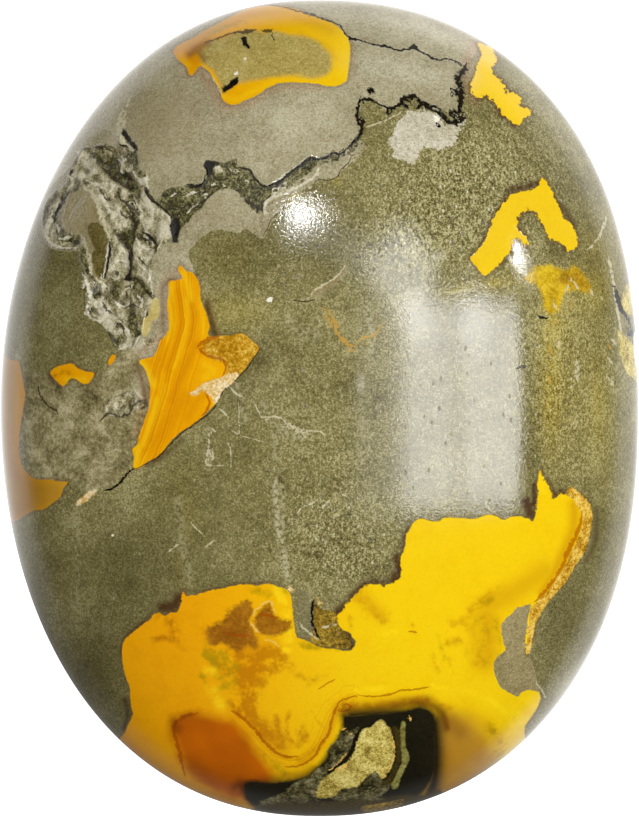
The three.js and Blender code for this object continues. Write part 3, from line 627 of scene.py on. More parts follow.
# Soft brush strokes: width and strength, then a path in the photograph's pixels. They tint what they lie on.
STROKES = {
    # Orange-brown in the yellow
    "amber": [
        (6, 0.7, [(160, 617), (170, 623), (174, 631)]), (3.5, 0.8, [(154, 640), (165, 638), (176, 641)]),
        (3.5, 0.4, [(177, 644), (184, 651)]), (5, 0.5, [(205, 632), (212, 640), (212, 648)]),
        (8, 1.0, [(240, 655), (256, 657), (270, 652), (280, 660), (270, 670), (255, 668)]),
        (7, 1.0, [(244, 672), (250, 684), (254, 696)]), (5, 0.8, [(214, 662), (226, 672), (238, 668)]),
        (5, 0.5, [(283, 663), (292, 667)]), (4, 0.55, [(297, 676), (306, 680)]),
        (4, 0.5, [(308, 683), (325, 678)]),
        (9, 0.9, [(247, 688), (246, 703), (256, 720), (268, 733), (280, 744)]),
        (6, 1.0, [(240, 680), (250, 676), (262, 682)]), (5, 0.9, [(252, 690), (250, 704), (247, 714)]),
        (4, 0.8, [(229, 703), (236, 708), (240, 716)]), (5, 0.6, [(228, 650), (238, 660), (250, 664)]),
        (4, 0.8, [(277, 718), (278, 730), (283, 746)]), (6, 1.0, [(301, 732), (303, 739)]),
        (2.5, 0.7, [(290, 712), (287, 724), (289, 738), (297, 747), (305, 744), (307, 735)]),
        (2, 0.4, [(312, 712), (318, 722), (326, 730)]), (3, 0.5, [(285, 757), (300, 759), (313, 750)]),
        (10, 0.45, [(360, 596), (372, 608), (382, 616)]), (4, 0.6, [(370, 616), (383, 622)]),
        (3, 0.5, [(350, 618), (352, 630)]), (6, 0.55, [(452, 624), (466, 620)]),
        (5, 0.6, [(449, 643), (458, 642)]), (6, 0.5, [(470, 612), (484, 600), (500, 590)]),
        (8, 0.4, [(470, 628), (476, 650), (480, 660)]), (2, 0.6, [(411, 626), (414, 626)]),
        (2, 0.5, [(379, 645), (381, 647)]), (3, 0.5, [(448, 660), (452, 672)]),
        (3, 0.5, [(432, 655), (438, 672)]), (4, 0.5, [(465, 652), (474, 664)]),
        (2, 0.7, [(366, 618), (374, 615), (382, 619)]),
        (4, 0.9, [(345, 706), (372, 706), (400, 703), (425, 699)]), (4, 0.6, [(435, 703), (450, 708)]),
        (5, 0.5, [(28, 503), (45, 500), (58, 492)]), (3, 0.6, [(54, 376), (62, 372), (72, 374)]),
    ],
    # Smooth darker gold
    "honey": [
        (3, 0.6, [(178, 290), (181, 310), (180, 330), (174, 350), (166, 370)]),
        (3, 0.6, [(192, 300), (193, 325), (188, 345)]),
        (4, 0.7, [(196, 345), (187, 365), (178, 385), (172, 402)]),
        (9, 0.5, [(186, 398), (176, 412), (166, 425), (152, 443)]),
        (5, 0.5, [(203, 395), (195, 405), (188, 418)]), (2, 0.6, [(160, 412), (152, 432), (147, 452)]),
        (3, 0.5, [(166, 350), (160, 365), (152, 380)]), (3, 0.9, [(199, 346), (202, 352)]),
        (2.5, 0.6, [(170, 296), (173, 318), (171, 336)]), (5, 0.6, [(185, 50), (200, 38), (225, 26)]),
        (4, 0.7, [(176, 52), (186, 56), (196, 62)]), (7, 0.5, [(225, 24), (250, 14), (290, 14), (330, 30)]),
        (3, 0.4, [(300, 36), (325, 45), (336, 60)]),
        (6, 0.9, [(574, 505), (574, 528), (564, 552), (553, 575), (542, 592)]),
        (7, 0.6, [(500, 592), (520, 586), (545, 580)]), (12, 0.9, [(448, 722), (464, 730), (478, 744)]),
        (12, 0.7, [(490, 606), (515, 592), (545, 572)]), (14, 0.8, [(487, 616), (488, 640), (486, 660)]),
        (9, 0.6, [(466, 716), (484, 726), (496, 742)]), (8, 0.5, [(484, 756), (500, 766)]),
        (12, 0.5, [(240, 640), (262, 646), (250, 668)]), (9, 0.5, [(478, 612), (478, 640)]),
        (8, 0.5, [(362, 598), (376, 612)]), (5, 0.6, [(182, 440), (198, 425), (212, 410)]),
        (7, 0.6, [(252, 720), (268, 738), (284, 748)]),
        (6, 0.6, [(346, 706), (372, 705), (400, 702), (430, 702)]),
        (5, 0.7, [(338, 708), (330, 730), (318, 748), (302, 762)]),
    ],
    # Pale yellow
    "lemon": [
        (8, 0.6, [(212, 690), (218, 698), (222, 706)]), (6, 0.5, [(206, 670), (214, 672)]),
        (6, 0.8, [(277, 590), (284, 604), (287, 625), (288, 640)]), (3, 0.8, [(284, 650), (290, 651)]),
        (3, 1.0, [(380, 635), (388, 634), (396, 632)]), (3, 1.0, [(356, 691), (368, 690), (382, 689)]),
        (3, 1.0, [(433, 686), (442, 689), (453, 690)]),
        (4, 0.7, [(455, 691), (475, 694), (492, 702), (506, 714), (514, 726)]),
        (8, 1.0, [(527, 700), (535, 700)]), (7, 0.8, [(515, 712), (522, 722)]),
        (4, 0.6, [(541, 478), (544, 492)]),
    ],
    # Smooth pale yellow
    "butter": [
        (3, 0.7, [(171, 286), (170, 300), (172, 325), (168, 338)]),
        (3, 0.8, [(184, 272), (189, 290), (191, 300)]), (4, 0.9, [(140, 362), (147, 372), (153, 385)]),
        (4, 0.9, [(137, 447), (137, 460), (136, 466)]), (3, 0.7, [(156, 400), (150, 425), (143, 446)]),
        (4, 0.6, [(205, 365), (214, 372), (205, 378)]), (2.5, 0.6, [(212, 410), (216, 402), (222, 392)]),
        (2, 0.6, [(186, 300), (188, 322), (183, 345), (174, 368)]),
        (2, 0.6, [(200, 300), (203, 320), (204, 336)]), (2, 0.5, [(166, 385), (158, 410), (150, 432)]),
        (3, 0.7, [(203, 66), (213, 76), (222, 96), (235, 101)]),
        (3, 0.6, [(235, 101), (262, 88), (283, 80), (320, 82)]), (5, 0.7, [(345, 42), (345, 60), (343, 76)]),
        (3, 0.5, [(180, 55), (188, 66)]), (3, 0.6, [(66, 380), (85, 380)]), (5, 0.5, [(45, 488), (62, 486)]),
    ],
    # Olive in the yellow
    "lichen": [
        (6, 1.0, [(206, 657), (214, 660)]), (7, 0.8, [(222, 655), (232, 668)]),
        (4, 0.7, [(201, 676), (206, 681)]), (5, 0.5, [(216, 676), (226, 680)]),
        (6, 0.5, [(255, 592), (270, 594)]), (3, 0.8, [(280, 590), (286, 593)]),
        (12, 0.4, [(484, 622), (488, 640), (486, 658)]), (6, 0.5, [(478, 606), (492, 598)]),
        (4, 0.4, [(437, 634), (445, 660)]), (5, 0.6, [(300, 646), (320, 648), (340, 648)]),
        (6, 0.5, [(262, 755), (270, 764), (285, 772)]), (8, 0.6, [(490, 730), (500, 745), (492, 760)]),
        (4, 0.5, [(496, 620), (500, 640), (497, 655)]), (4, 0.5, [(222, 352), (232, 356), (240, 352)]),
        (8, 0.9, [(566, 280), (576, 277), (586, 286)]), (4, 0.6, [(205, 36), (225, 28), (245, 24)]),
        (9, 0.6, [(208, 650), (222, 664), (230, 680), (222, 690)]),
    ],
    # Scorched brown at the yellow's edge with the black, and dark red in the fold
    "scorch": [
        (5, 0.9, [(412, 703), (428, 705), (442, 713), (447, 728)]), (10, 0.45, [(450, 722), (460, 732)]),
        (5, 0.8, [(234, 788), (240, 784), (246, 792)]),
        (6, 0.8, [(345, 712), (380, 710), (405, 705), (428, 703)]), (5, 0.6, [(174, 722), (177, 730)]),
        (3, 0.5, [(183, 718), (190, 715)]), (2.5, 0.6, [(344, 706), (350, 710)]),
        (4, 0.5, [(285, 776), (302, 774), (312, 769)]), (4, 0.7, [(190, 54), (195, 52), (199, 50)]),
        (3, 0.6, [(196, 50), (204, 60)]), (4, 0.7, [(194, 50), (201, 46), (208, 43)]),
        (4, 0.5, [(444, 716), (446, 730)]),
    ],
    # Soft edges of the black
    "dusk": [
        (9, 1.0, [(434, 722), (436, 745), (436, 765), (434, 782), (428, 802)]),
        (5, 1.0, [(350, 716), (400, 713), (425, 714)]), (7, 0.8, [(246, 790), (262, 787), (280, 783)]),
    ],
    # Burnt rock beside the yellow
    "burn": [
        (3, 0.55, [(121, 655), (127, 636), (143, 623), (153, 611)]),
        (7, 0.95, [(162, 608), (174, 606), (179, 599)]),
        (2.5, 0.5, [(183, 590), (200, 592), (225, 586), (250, 583), (280, 584)]),
        (3.5, 0.7, [(125, 700), (128, 714), (124, 728)]), (3, 0.5, [(296, 640), (320, 648), (345, 651)]),
        (4, 0.6, [(350, 598), (368, 582), (385, 583), (398, 577)]),
        (6, 0.8, [(397, 558), (399, 570), (394, 580)]), (3, 0.6, [(402, 550), (405, 535), (411, 520)]),
        (6, 0.9, [(526, 502), (531, 515)]), (3, 0.8, [(534, 485), (534, 505)]),
        (3, 0.5, [(505, 516), (528, 517)]), (3, 0.5, [(547, 478), (556, 494)]),
        (3, 0.7, [(560, 491), (575, 492), (590, 503)]), (4, 0.5, [(596, 510), (596, 540), (586, 562)]),
        (5, 0.8, [(337, 613), (346, 605)]), (6, 0.9, [(338, 628), (348, 638), (350, 646)]),
        (4, 0.7, [(207, 303), (212, 325), (215, 334)]),
        (4, 0.5, [(175, 279), (164, 285), (163, 305), (163, 330)]),
        (3, 0.5, [(137, 365), (143, 385), (145, 400)]), (4, 0.5, [(182, 440), (165, 455), (148, 466)]),
        (3, 0.6, [(49, 375), (54, 384)]), (3, 0.6, [(469, 258), (485, 238), (500, 208), (512, 194)]),
        (4, 0.6, [(560, 204), (569, 216), (574, 226)]), (5, 0.45, [(548, 242), (556, 247), (564, 252)]),
        (5, 0.7, [(508, 192), (522, 187), (538, 184)]),
        (7, 0.3, [(521, 226), (523, 216), (532, 214), (541, 228)]),
        (4, 0.45, [(500, 264), (508, 256), (511, 246)]), (3, 0.5, [(497, 108), (508, 122), (516, 129)]),
        (3, 0.5, [(500, 78), (508, 92), (522, 98)]),
    ],
    # Rock blushed by the yellow beside it
    "blush": [
        (5, 0.9, [(188, 72), (198, 72), (208, 82), (218, 100), (230, 108)]),
        (3.5, 0.7, [(230, 108), (244, 107), (258, 99), (284, 87), (320, 88)]),
        (3, 0.4, [(353, 80), (354, 60), (350, 42)]), (5, 0.9, [(474, 44), (468, 64), (466, 84), (474, 102)]),
        (4, 0.7, [(176, 274), (164, 284), (162, 300), (163, 330), (154, 344), (138, 354)]),
        (4, 0.9, [(138, 368), (143, 384), (145, 402), (140, 418), (135, 436)]),
        (3, 0.6, [(207, 296), (213, 318), (216, 332)]),
    ],
    # Dull beige over the ring's far corner, and painted shade: a faint dulling over the hook
    "dull_and_painted_shade": [
        (9, 0.5, [(186, 44), (200, 34), (218, 26)]), (6, 0.2, [(225, 20), (250, 14), (270, 16)]),
        # painted shade: dims the hook
        (30, 0.16, [(480, 250), (520, 200), (560, 230)]),
    ],
    # Darker and lighter parts of the soot, the crust and the mottled rock: partly their own colour, partly
    # painted shade in dips and painted light on raised parts; the relief also sinks the darker ones in the
    # pocket
    "darker_and_painted_shade": [
        (6, 0.5, [(104, 158), (108, 163), (112, 168)]), (3, 0.5, [(124, 171), (126, 178)]),
        (4, 0.5, [(129, 212), (132, 222), (129, 240)]), (4, 0.5, [(120, 238), (128, 247)]),
        (3, 0.7, [(45, 402), (55, 410)]), (3, 0.7, [(95, 398), (104, 404)]),
        (3, 0.5, [(125, 425), (133, 440)]), (3, 0.5, [(70, 470), (85, 476)]),
        (3, 1.0, [(83, 168), (84, 171)]), (4, 0.6, [(248, 204), (258, 210)]),
        (3, 0.4, [(122, 306), (126, 314)]), (3, 0.9, [(104, 198), (105, 199)]),
    ],
    "paler_and_painted_light": [
        (5, 0.6, [(182, 197), (197, 192)]), (5, 0.6, [(230, 168), (244, 174)]),
        (4, 0.4, [(292, 181), (306, 173), (325, 163)]), (6, 0.8, [(72, 174), (78, 177)]),
        (8, 0.9, [(148, 205), (158, 215), (166, 232)]), (3, 0.8, [(110, 183), (112, 188)]),
        (3, 0.8, [(110, 210), (111, 214)]), (4, 0.8, [(104, 323), (110, 330)]),
        (6, 0.7, [(98, 304), (106, 316)]), (3, 1.0, [(120, 349), (128, 346), (130, 334)]),
        (4, 0.7, [(62, 425), (78, 428)]), (3, 0.6, [(60, 408), (70, 410)]),
        (3, 0.6, [(100, 428), (108, 436)]), (3, 0.5, [(38, 452), (42, 464), (50, 474)]),
        (3, 0.5, [(85, 452), (95, 462)]), (4, 0.8, [(118, 394), (136, 393)]),
        (4, 0.7, [(105, 402), (114, 406)]),
    ],
    # Dusty, faint upright lines, as if drawn in chalk
    "dusty": [
        (2.4, 1.0, [(275, 480), (276, 505), (278, 530), (284, 555), (288, 578)]),
        (2.5, 0.4, [(281, 470), (283, 520), (281, 560)]), (4, 0.3, [(178, 500), (182, 540), (190, 580)]),
        (3, 0.15, [(76, 520), (78, 560), (78, 630)]), (3, 0.5, [(366, 300), (372, 340), (368, 360)]),
        (5, 0.25, [(361, 380), (362, 420), (363, 470)]), (2.5, 0.4, [(275, 432), (276, 460)]),
        (3, 0.3, [(207, 430), (209, 466)]), (2.5, 0.5, [(234, 380), (240, 400), (246, 420)]),
        (3, 0.4, [(262, 402), (270, 420), (282, 432), (300, 438)]),
        (4, 0.4, [(310, 298), (330, 286), (345, 272)]), (5, 0.35, [(290, 322), (296, 330), (316, 335)]),
    ],
}

# Broad soft areas: middle, half-widths across and down in pixels, turn in degrees, strength
STAINS = {
    "shade": [
        (100, 660, 55, 90, 20, 0.75), (150, 560, 70, 60, 0, 0.35), (60, 300, 40, 60, 0, 0.35),
        (560, 622, 22, 50, 15, 0.55), (225, 262, 42, 30, 0, 0.6), (330, 235, 40, 30, -20, 0.4),
        (40, 560, 20, 60, 10, 0.3), (535, 470, 14, 40, 0, 0.35), (540, 180, 30, 60, -25, 0.2),
        (262, 355, 10, 22, 25, 0.45), (235, 395, 18, 12, -40, 0.5), (555, 256, 22, 8, 0, 0.4),
        (605, 545, 10, 30, 0, 0.3), (592, 266, 14, 12, 0, 0.4), (560, 640, 26, 70, 20, 0.2),
    ],
    "mustard": [
        (566, 380, 28, 85, 0, 0.42), (592, 290, 22, 26, 0, 0.6), (600, 250, 20, 30, -20, 0.4),
        (550, 390, 10, 75, 0, 0.7), (598, 400, 9, 50, 0, 0.4), (492, 285, 10, 6, -10, 0.9),
        (462, 290, 20, 5, -10, 0.6), (230, 312, 36, 20, 0, 0.55), (293, 198, 9, 5, -15, 0.8),
        (337, 182, 4, 5, 0, 0.7), (510, 282, 20, 14, 0, 0.4), (555, 318, 14, 20, 0, 0.5),
        (92, 244, 4, 4, 0, 0.8), (368, 340, 8, 5, -25, 0.6), (185, 510, 12, 40, -10, 0.25),
        (182, 570, 8, 18, -10, 0.3), (604, 430, 16, 60, 0, 0.2), (215, 203, 9, 12, 0, 0.5),
        (160, 125, 34, 48, 30, 0.7), (225, 262, 26, 20, 0, 0.35),
    ],
    "milk": [
        (361, 384, 4, 8, 0, 0.5), (220, 48, 5, 4, 0, 0.3), (400, 70, 60, 12, 10, 0.4),
        (474, 72, 7, 22, 0, 0.5), (142, 345, 9, 5, -20, 0.6), (140, 385, 6, 12, 0, 0.3),
        (438, 257, 5, 5, 0, 0.4), (400, 30, 70, 16, 12, 0.35), (115, 134, 8, 16, 30, 0.4),
        (95, 105, 16, 40, 40, 0.35), (245, 62, 4, 9, 10, 0.35), (573, 680, 7, 44, 38, 0.5),
    ],
    # Painted glints: fine near-white grain laid into the colour under the windows' reflections, standing in
    # for the mirrored windows broken up by the polish; the same stains also roughen the polish
    "frost_and_painted_glint": [
        (455, 400, 60, 110, 0, 0.7), (470, 320, 40, 40, 0, 0.4), (410, 280, 30, 26, 0, 0.5),
        (300, 222, 30, 34, 0, 0.4),
    ],
    # Crisp white specks
    "snow": [
        (437, 119, 5, 4, 0, 0.9), (270, 300, 4, 3.5, 0, 1.0), (236, 74, 3.5, 3, 20, 0.9),
        (246, 58, 3, 4, 0, 0.7), (113, 536, 3, 2.5, 0, 0.7), (423, 180, 9, 13, 20, 0.32),
        (452, 205, 9, 9, 20, 0.3),
    ],
    "salt": [
        (470, 190, 90, 80, 0, 1.0), (400, 240, 60, 30, 0, 0.6), (560, 380, 50, 110, 0, 0.6),
        (330, 520, 60, 60, 0, 0.5), (250, 240, 60, 60, 0, 0.2), (90, 445, 60, 50, 0, 0.4),
        (360, 560, 60, 30, 0, 0.5), (330, 400, 90, 90, 0, 0.2),
    ],
    # Where outlines are toothed
    "tooth": [
        (500, 90, 40, 50, 0, 1.0), (425, 135, 50, 40, 0, 1.0), (525, 230, 60, 60, 0, 0.8),
        (200, 600, 60, 30, 0, 0.4), (560, 500, 40, 30, 0, 0.7), (345, 160, 40, 40, 0, 0.6),
        (380, 600, 50, 40, 0, 0.5), (530, 640, 30, 40, 0, 0.3), (290, 210, 50, 30, 0, 0.6),
    ],
}


def refine(points, closed):
    """Doubles the points of a path: each new one is on a smooth curve between its neighbours."""
    if closed:
        before, after, beyond = (np.roll(points, k, axis=0) for k in (1, -1, -2))
        middles = (9 * (points + after) - before - beyond) / 16
        return np.stack([points, middles], axis=1).reshape(-1, 2)
    ends = np.vstack([2 * points[0] - points[1], points, 2 * points[-1] - points[-2]])
    middles = (9 * (ends[1:-2] + ends[2:-1]) - ends[:-3] - ends[3:]) / 16
    path = np.empty((2 * len(points) - 1, 2))
    path[0::2] = points
    path[1::2] = middles
    return path


def nearest_on_path(places, starts, ends):
    """For each place: how far along the path its nearest point is, the distance and the signed offset."""
    run = ends - starts
    length = np.maximum((run**2).sum(1), 1e-9)
    away = places[:, None, :] - starts[None, :, :]
    share = np.clip((away * run).sum(2) / length, 0, 1)
    gap = away - share[:, :, None] * run
    squared = (gap**2).sum(2)
    best = squared.argmin(1)
    rows = np.arange(len(places))
    distance = np.sqrt(squared[rows, best])
    cross = run[best, 0] * away[rows, best, 1] - run[best, 1] * away[rows, best, 0]
    return (best + share[rows, best]) / len(starts), distance, np.sign(cross) * distance


def in_chunks(work, places, size=4000):
    parts = [work(places[start : start + size]) for start in range(0, len(places), size)]
    return [np.concatenate(column) for column in zip(*parts)]


def near_path(places, points, closed, reach):
    """The refined path's ends of segments, and which places are within reach of its box."""
    path = refine(np.array(points, float), closed)
    starts, ends = (path, np.roll(path, -1, axis=0)) if closed else (path[:-1], path[1:])
    inside = (places > path.min(0) - reach) & (places < path.max(0) + reach)
    return starts, ends, np.flatnonzero(inside.all(1))


def zone_field(places, outlines):
    """Distance to the nearest of some closed outlines in pixels, positive inside."""
    field = np.full(len(places), -FAR)
    for outline in outlines:
        starts, ends, near = near_path(places, outline, True, FAR)

        def depth(some):
            _, distance, _ = nearest_on_path(some, starts, ends)
            x, y = some[:, 0, None], some[:, 1, None]
            spans = (starts[:, 1] > y) != (ends[:, 1] > y)
            rise = ends[:, 1] - starts[:, 1]
            rise = np.where(rise == 0, 1e-9, rise)
            meets = starts[:, 0] + (y - starts[:, 1]) * (ends[:, 0] - starts[:, 0]) / rise
            inside = (spans & (x < meets)).sum(1) % 2 == 1
            return (np.where(inside, distance, -distance),)

        if len(near):
            field[near] = np.maximum(field[near], in_chunks(depth, places[near])[0])
    return np.minimum(field, FAR)


def line_fields(places, lines):
    """Offset from the nearest line and distance from it, both in half line widths; ends are tapered."""
    offset = np.full(len(places), FAR)
    distance = np.full(len(places), FAR)
    for half_width, points in lines:
        starts, ends, near = near_path(places, points, False, LINE_REACH)
        if not len(near):
            continue
        along, gap, signed = in_chunks(lambda some: nearest_on_path(some, starts, ends), places[near])
        taper = np.sqrt(np.clip(4 * np.minimum(along, 1 - along), 0, 1))
        width = half_width * (TIP_WIDTH + (1 - TIP_WIDTH) * taper)
        closer = gap / width < distance[near]
        offset[near[closer]] = (signed / width)[closer]
        distance[near[closer]] = (gap / width)[closer]
    return offset, distance


def stroke_field(places, strokes):
    """How strongly the strongest of some soft strokes is felt."""
    field = np.zeros(len(places))
    for width, strength, points in strokes:
        starts, ends, near = near_path(places, points, False, STROKE_REACH * width)
        if len(near):
            _, gap, _ = in_chunks(lambda some: nearest_on_path(some, starts, ends), places[near])
            field[near] = np.maximum(field[near], strength * np.exp(-((gap / width) ** 2)))
    return field


def along_axes(away, across, along, turn):
    """Offsets along the axes of an ellipse turned by some degrees, in its half sizes."""
    c, s = math.cos(math.radians(turn)), math.sin(math.radians(turn))
    return (away[:, 0] * c + away[:, 1] * s) / across, (away[:, 1] * c - away[:, 0] * s) / along


def stain_field(places, spots):
    """The sum of some soft ellipses, up to 1."""
    field = np.zeros(len(places))
    for x, y, across, along, turn, strength in spots:
        right, down = along_axes(places - (x, y), across, along, turn)
        field += strength * np.exp(-(right**2 + down**2))
    return np.clip(field, 0, 1)


def flow_field(places, lines):
    """Signed distance in pixels from the nearest flow line, divided by its reach."""
    offset = np.full(len(places), FAR)
    for reach, points in lines:
        starts, ends, _ = near_path(places, points, False, 0)
        _, gap, signed = in_chunks(lambda some: nearest_on_path(some, starts, ends), places)
        closer = gap / reach < np.abs(offset)
        offset[closer] = (signed / reach)[closer]
    return offset


# Noise: how many random values it draws, the numbers that pick one of them for a cell, and a shift that keeps
# the cells' numbers above zero
NOISE_VALUES = 4096
NOISE_PRIMES = (73856093, 19349663, 83492791)
NOISE_SHIFT = 1000


def lattice_noise(points, size, seed):
    """Smooth noise from -1 to 1 at 3-D points, with lumps of the given size."""
    table = np.random.default_rng(seed).uniform(-1, 1, NOISE_VALUES)
    scaled = points / size + NOISE_SHIFT
    cell = np.floor(scaled).astype(np.int64)
    part = scaled - cell
    part = part * part * (3 - 2 * part)
    total = np.zeros(len(points))
    for corner in range(8):
        step = np.array([corner & 1, corner >> 1 & 1, corner >> 2 & 1])
        weight = np.prod(np.where(step, part, 1 - part), axis=1)
        mixed = np.bitwise_xor.reduce((cell + step) * NOISE_PRIMES, axis=1)
        total += weight * table[mixed % NOISE_VALUES]
    return total


def layered_noise(points, size, seed):
    """Three layers of noise, each half as large and half as strong as the one before, from -1 to 1."""
    layers = [lattice_noise(points, size / 2**k, seed + k) / 2**k for k in range(3)]
    return sum(layers) / (1 + 1 / 2 + 1 / 4)


def smooth_step(value, low, high):
    share = np.clip((value - low) / (high - low), 0, 1)
    return share * share * (3 - 2 * share)


def outline_radius(angle):
    exponent = OUTLINE_EXPONENT + OUTLINE_RIGHT * np.cos(angle) + OUTLINE_DIAGONAL * np.sin(2 * angle)
    across = np.abs(np.cos(angle) / HALF_WIDTH) ** exponent
    along = np.abs(np.sin(angle) / HALF_LENGTH) ** exponent
    return (across + along) ** (-1 / exponent)


def dome_height(share, angle):
    across = DOME_ACROSS - DOME_ACROSS_LEFT * np.cos(angle)
    return EQUATOR + DOME_RISE * (1 - np.minimum(share, 1) ** across) ** (1 / DOME_UP)


def base_height(share):
    lifted = EQUATOR - BASE_DROP * (1 - np.minimum(share, 1) ** BASE_ACROSS) ** (1 / BASE_UP)
    return np.where(share <= FLAT_SHARE + 1e-6, 0, lifted)


def even_shares(height, rings):
    """Shares of the outline at which rings lie evenly along the average section, from the pole out."""
    shares = np.sin(np.linspace(0, math.pi / 2, SECTION_SAMPLES))
    radius = shares * (HALF_WIDTH + HALF_LENGTH) / 2
    heights = height(shares)
    travelled = np.concatenate([[0], np.cumsum(np.hypot(np.diff(radius), np.diff(heights)))])
    return np.interp(np.linspace(0, travelled[-1], rings + 1), travelled, shares)


def ring_angles(k):
    return np.arange(max(6 * k, 1)) * 2 * math.pi / max(6 * k, 1)


def stone_rings():
    """The stone's rings of vertices from the crown down to the middle of the flat spot."""
    rings = []
    dome = even_shares(lambda share: dome_height(share, math.pi / 2), DOME_RINGS)
    for k, share in enumerate(dome):
        angle = ring_angles(k)
        radius = share * outline_radius(angle)
        rings.append(np.stack([radius * np.cos(angle), radius * np.sin(angle), dome_height(share, angle)], 1))
    base = even_shares(base_height, BASE_RINGS)
    base[np.abs(base - FLAT_SHARE).argmin()] = FLAT_SHARE
    for k in range(BASE_RINGS - 1, -1, -1):
        angle = ring_angles(k)
        radius = base[k] * outline_radius(angle)
        height = np.full(len(angle), float(base_height(base[k])))
        rings.append(np.stack([radius * np.cos(angle), radius * np.sin(angle), height], 1))
    return rings


def zip_rings(upper, upper_start, lower, lower_start):
    """Triangles between two rings, each given by its number of vertices and its first vertex."""
    triangles = []
    i = j = 0
    last_i, last_j = (0 if upper == 1 else upper), (0 if lower == 1 else lower)
    while i < last_i or j < last_j:
        a, b = upper_start + i % upper, lower_start + j % lower
        if i >= last_i or (j < last_j and (j + 0.5) / lower < (i + 0.5) / upper):
            j += 1
            triangles.append((a, b, lower_start + j % lower))
        else:
            i += 1
            triangles.append((a, b, upper_start + i % upper))
    return triangles


def ring_triangles(rings):
    triangles = []
    first = 0
    for upper, lower in zip(rings[:-1], rings[1:]):
        triangles += zip_rings(len(upper), first, len(lower), first + len(upper))
        first += len(upper)
    return triangles


def normals_of(points, triangles):
    faces = np.array(triangles)
    a, b, c = (points[faces[:, k]] for k in range(3))
    across = np.cross(b - a, c - a)
    normals = np.zeros_like(points)
    for k in range(3):
        np.add.at(normals, faces[:, k], across)
    return normals / np.linalg.norm(normals, axis=1, keepdims=True)


def photo_places(points):
    """Where the photograph shows a point of the upper side. Below the widest level the markings go on down
    through the stone, slanting and drifting, as its layers do."""
    spread = (EYE_HEIGHT - EQUATOR) / (EYE_HEIGHT - np.maximum(points[:, 2], EQUATOR))
    depth = np.maximum(EQUATOR - points[:, 2], 0) / PIXEL
    drifting = np.minimum(depth, DRIFT_DEPTH)
    drift = [layered_noise(points, DRIFT_LUMP, seed) * drifting * DRIFT for seed in (3, 17)]
    x = PHOTO_MIDDLE[0] + points[:, 0] * spread / PIXEL + SLANT_ACROSS * depth + drift[0]
    y = PHOTO_MIDDLE[1] - points[:, 1] * spread / PIXEL + SLANT_DOWN * depth + drift[1]
    return np.stack([x, y], 1)


def under_places(points):
    """Where the underside looks in the same drawing, so that it differs from the face."""
    c, s = math.cos(UNDER_TURN), math.sin(UNDER_TURN)
    x, y = points[:, 0] / PIXEL, -points[:, 1] / PIXEL
    turned = (x * c - y * s, x * s + y * c)
    places = []
    for middle, shift, way, seed in zip(PHOTO_MIDDLE, UNDER_SHIFT, turned, (29, 41)):
        drift = layered_noise(points, UNDER_LUMP, seed) * UNDER_DRIFT
        places.append(middle + shift + way * UNDER_SCALE + drift)
    return np.stack(places, 1)


def all_fields(points):
    """Every named field at the points."""
    face, under = photo_places(points), under_places(points)
    depth = (EQUATOR - points[:, 2]) / EQUATOR
    below = smooth_step(depth + 0.25 * layered_noise(points, 8 * MM, seed=5), *UNDER_BETWEEN)
    uneven = depth - FACE_DEPTH - FACE_UNEVEN * layered_noise(points, 3.5 * MM, seed=71)
    face_end = smooth_step(np.where(depth < FACE_WHOLE, 0, uneven), *FACE_BETWEEN)
    seen, turned = below < 1, below > 0
    fields = {}

    def blend(name, work, data, outside):
        upper, lower = np.full(len(points), float(outside)), np.full(len(points), float(outside))
        upper[seen] = work(face[seen], data)
        lower[turned] = work(under[turned], data)
        fields[name] = upper + (lower - upper) * below

    for name, outlines in ZONES.items():
        blend(name, zone_field, outlines, -FAR)
        if name in FACE_ONLY:
            fields[name] = np.minimum(fields[name], FAR - 2 * FAR * face_end)
    for name, strokes in STROKES.items():
        blend(name, stroke_field, strokes, 0)
    for name, spots in STAINS.items():
        blend(name, stain_field, spots, 0)
    for name, lines in LINES.items():
        offset, distance = line_fields(face, lines)
        fields[name] = offset
        fields[name + "_far"] = distance + LINES_FADED * smooth_step(depth, *LINES_BETWEEN)
    fields["flow"] = flow_field(face, FLOW_LINES)
    fields["sun"] = smooth_step(face[:, 0], *SUN_BETWEEN)
    return fields


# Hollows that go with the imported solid's: middle, half sizes and depth in millimetres, turn in degrees
HOLLOWS = [
    (-16.1, 18.6, 2.1, 2.8, 0.25, 35), (-14.6, 14.0, 2.2, 3.2, 0.3, 20), (-15.9, 9.0, 2.3, 3.1, 0.3, -8),
    (-16.2, 19.7, 0.95, 0.8, 0.35, 20), (-14.6, 17.0, 0.65, 1.1, 0.4, 30), (-15.1, 11.4, 0.5, 1.5, 0.7, 4),
    (-16.8, 9.4, 0.7, 0.9, 0.4, -35), (-15.0, 7.9, 0.6, 0.9, 0.35, 30), (-20.4, 15.4, 0.45, 1.8, 0.25, -22),
    (-19.2, 12.9, 1.1, 0.45, 0.25, 12), (-15.2, 0.4, 1.3, 0.55, 0.3, 30),
]


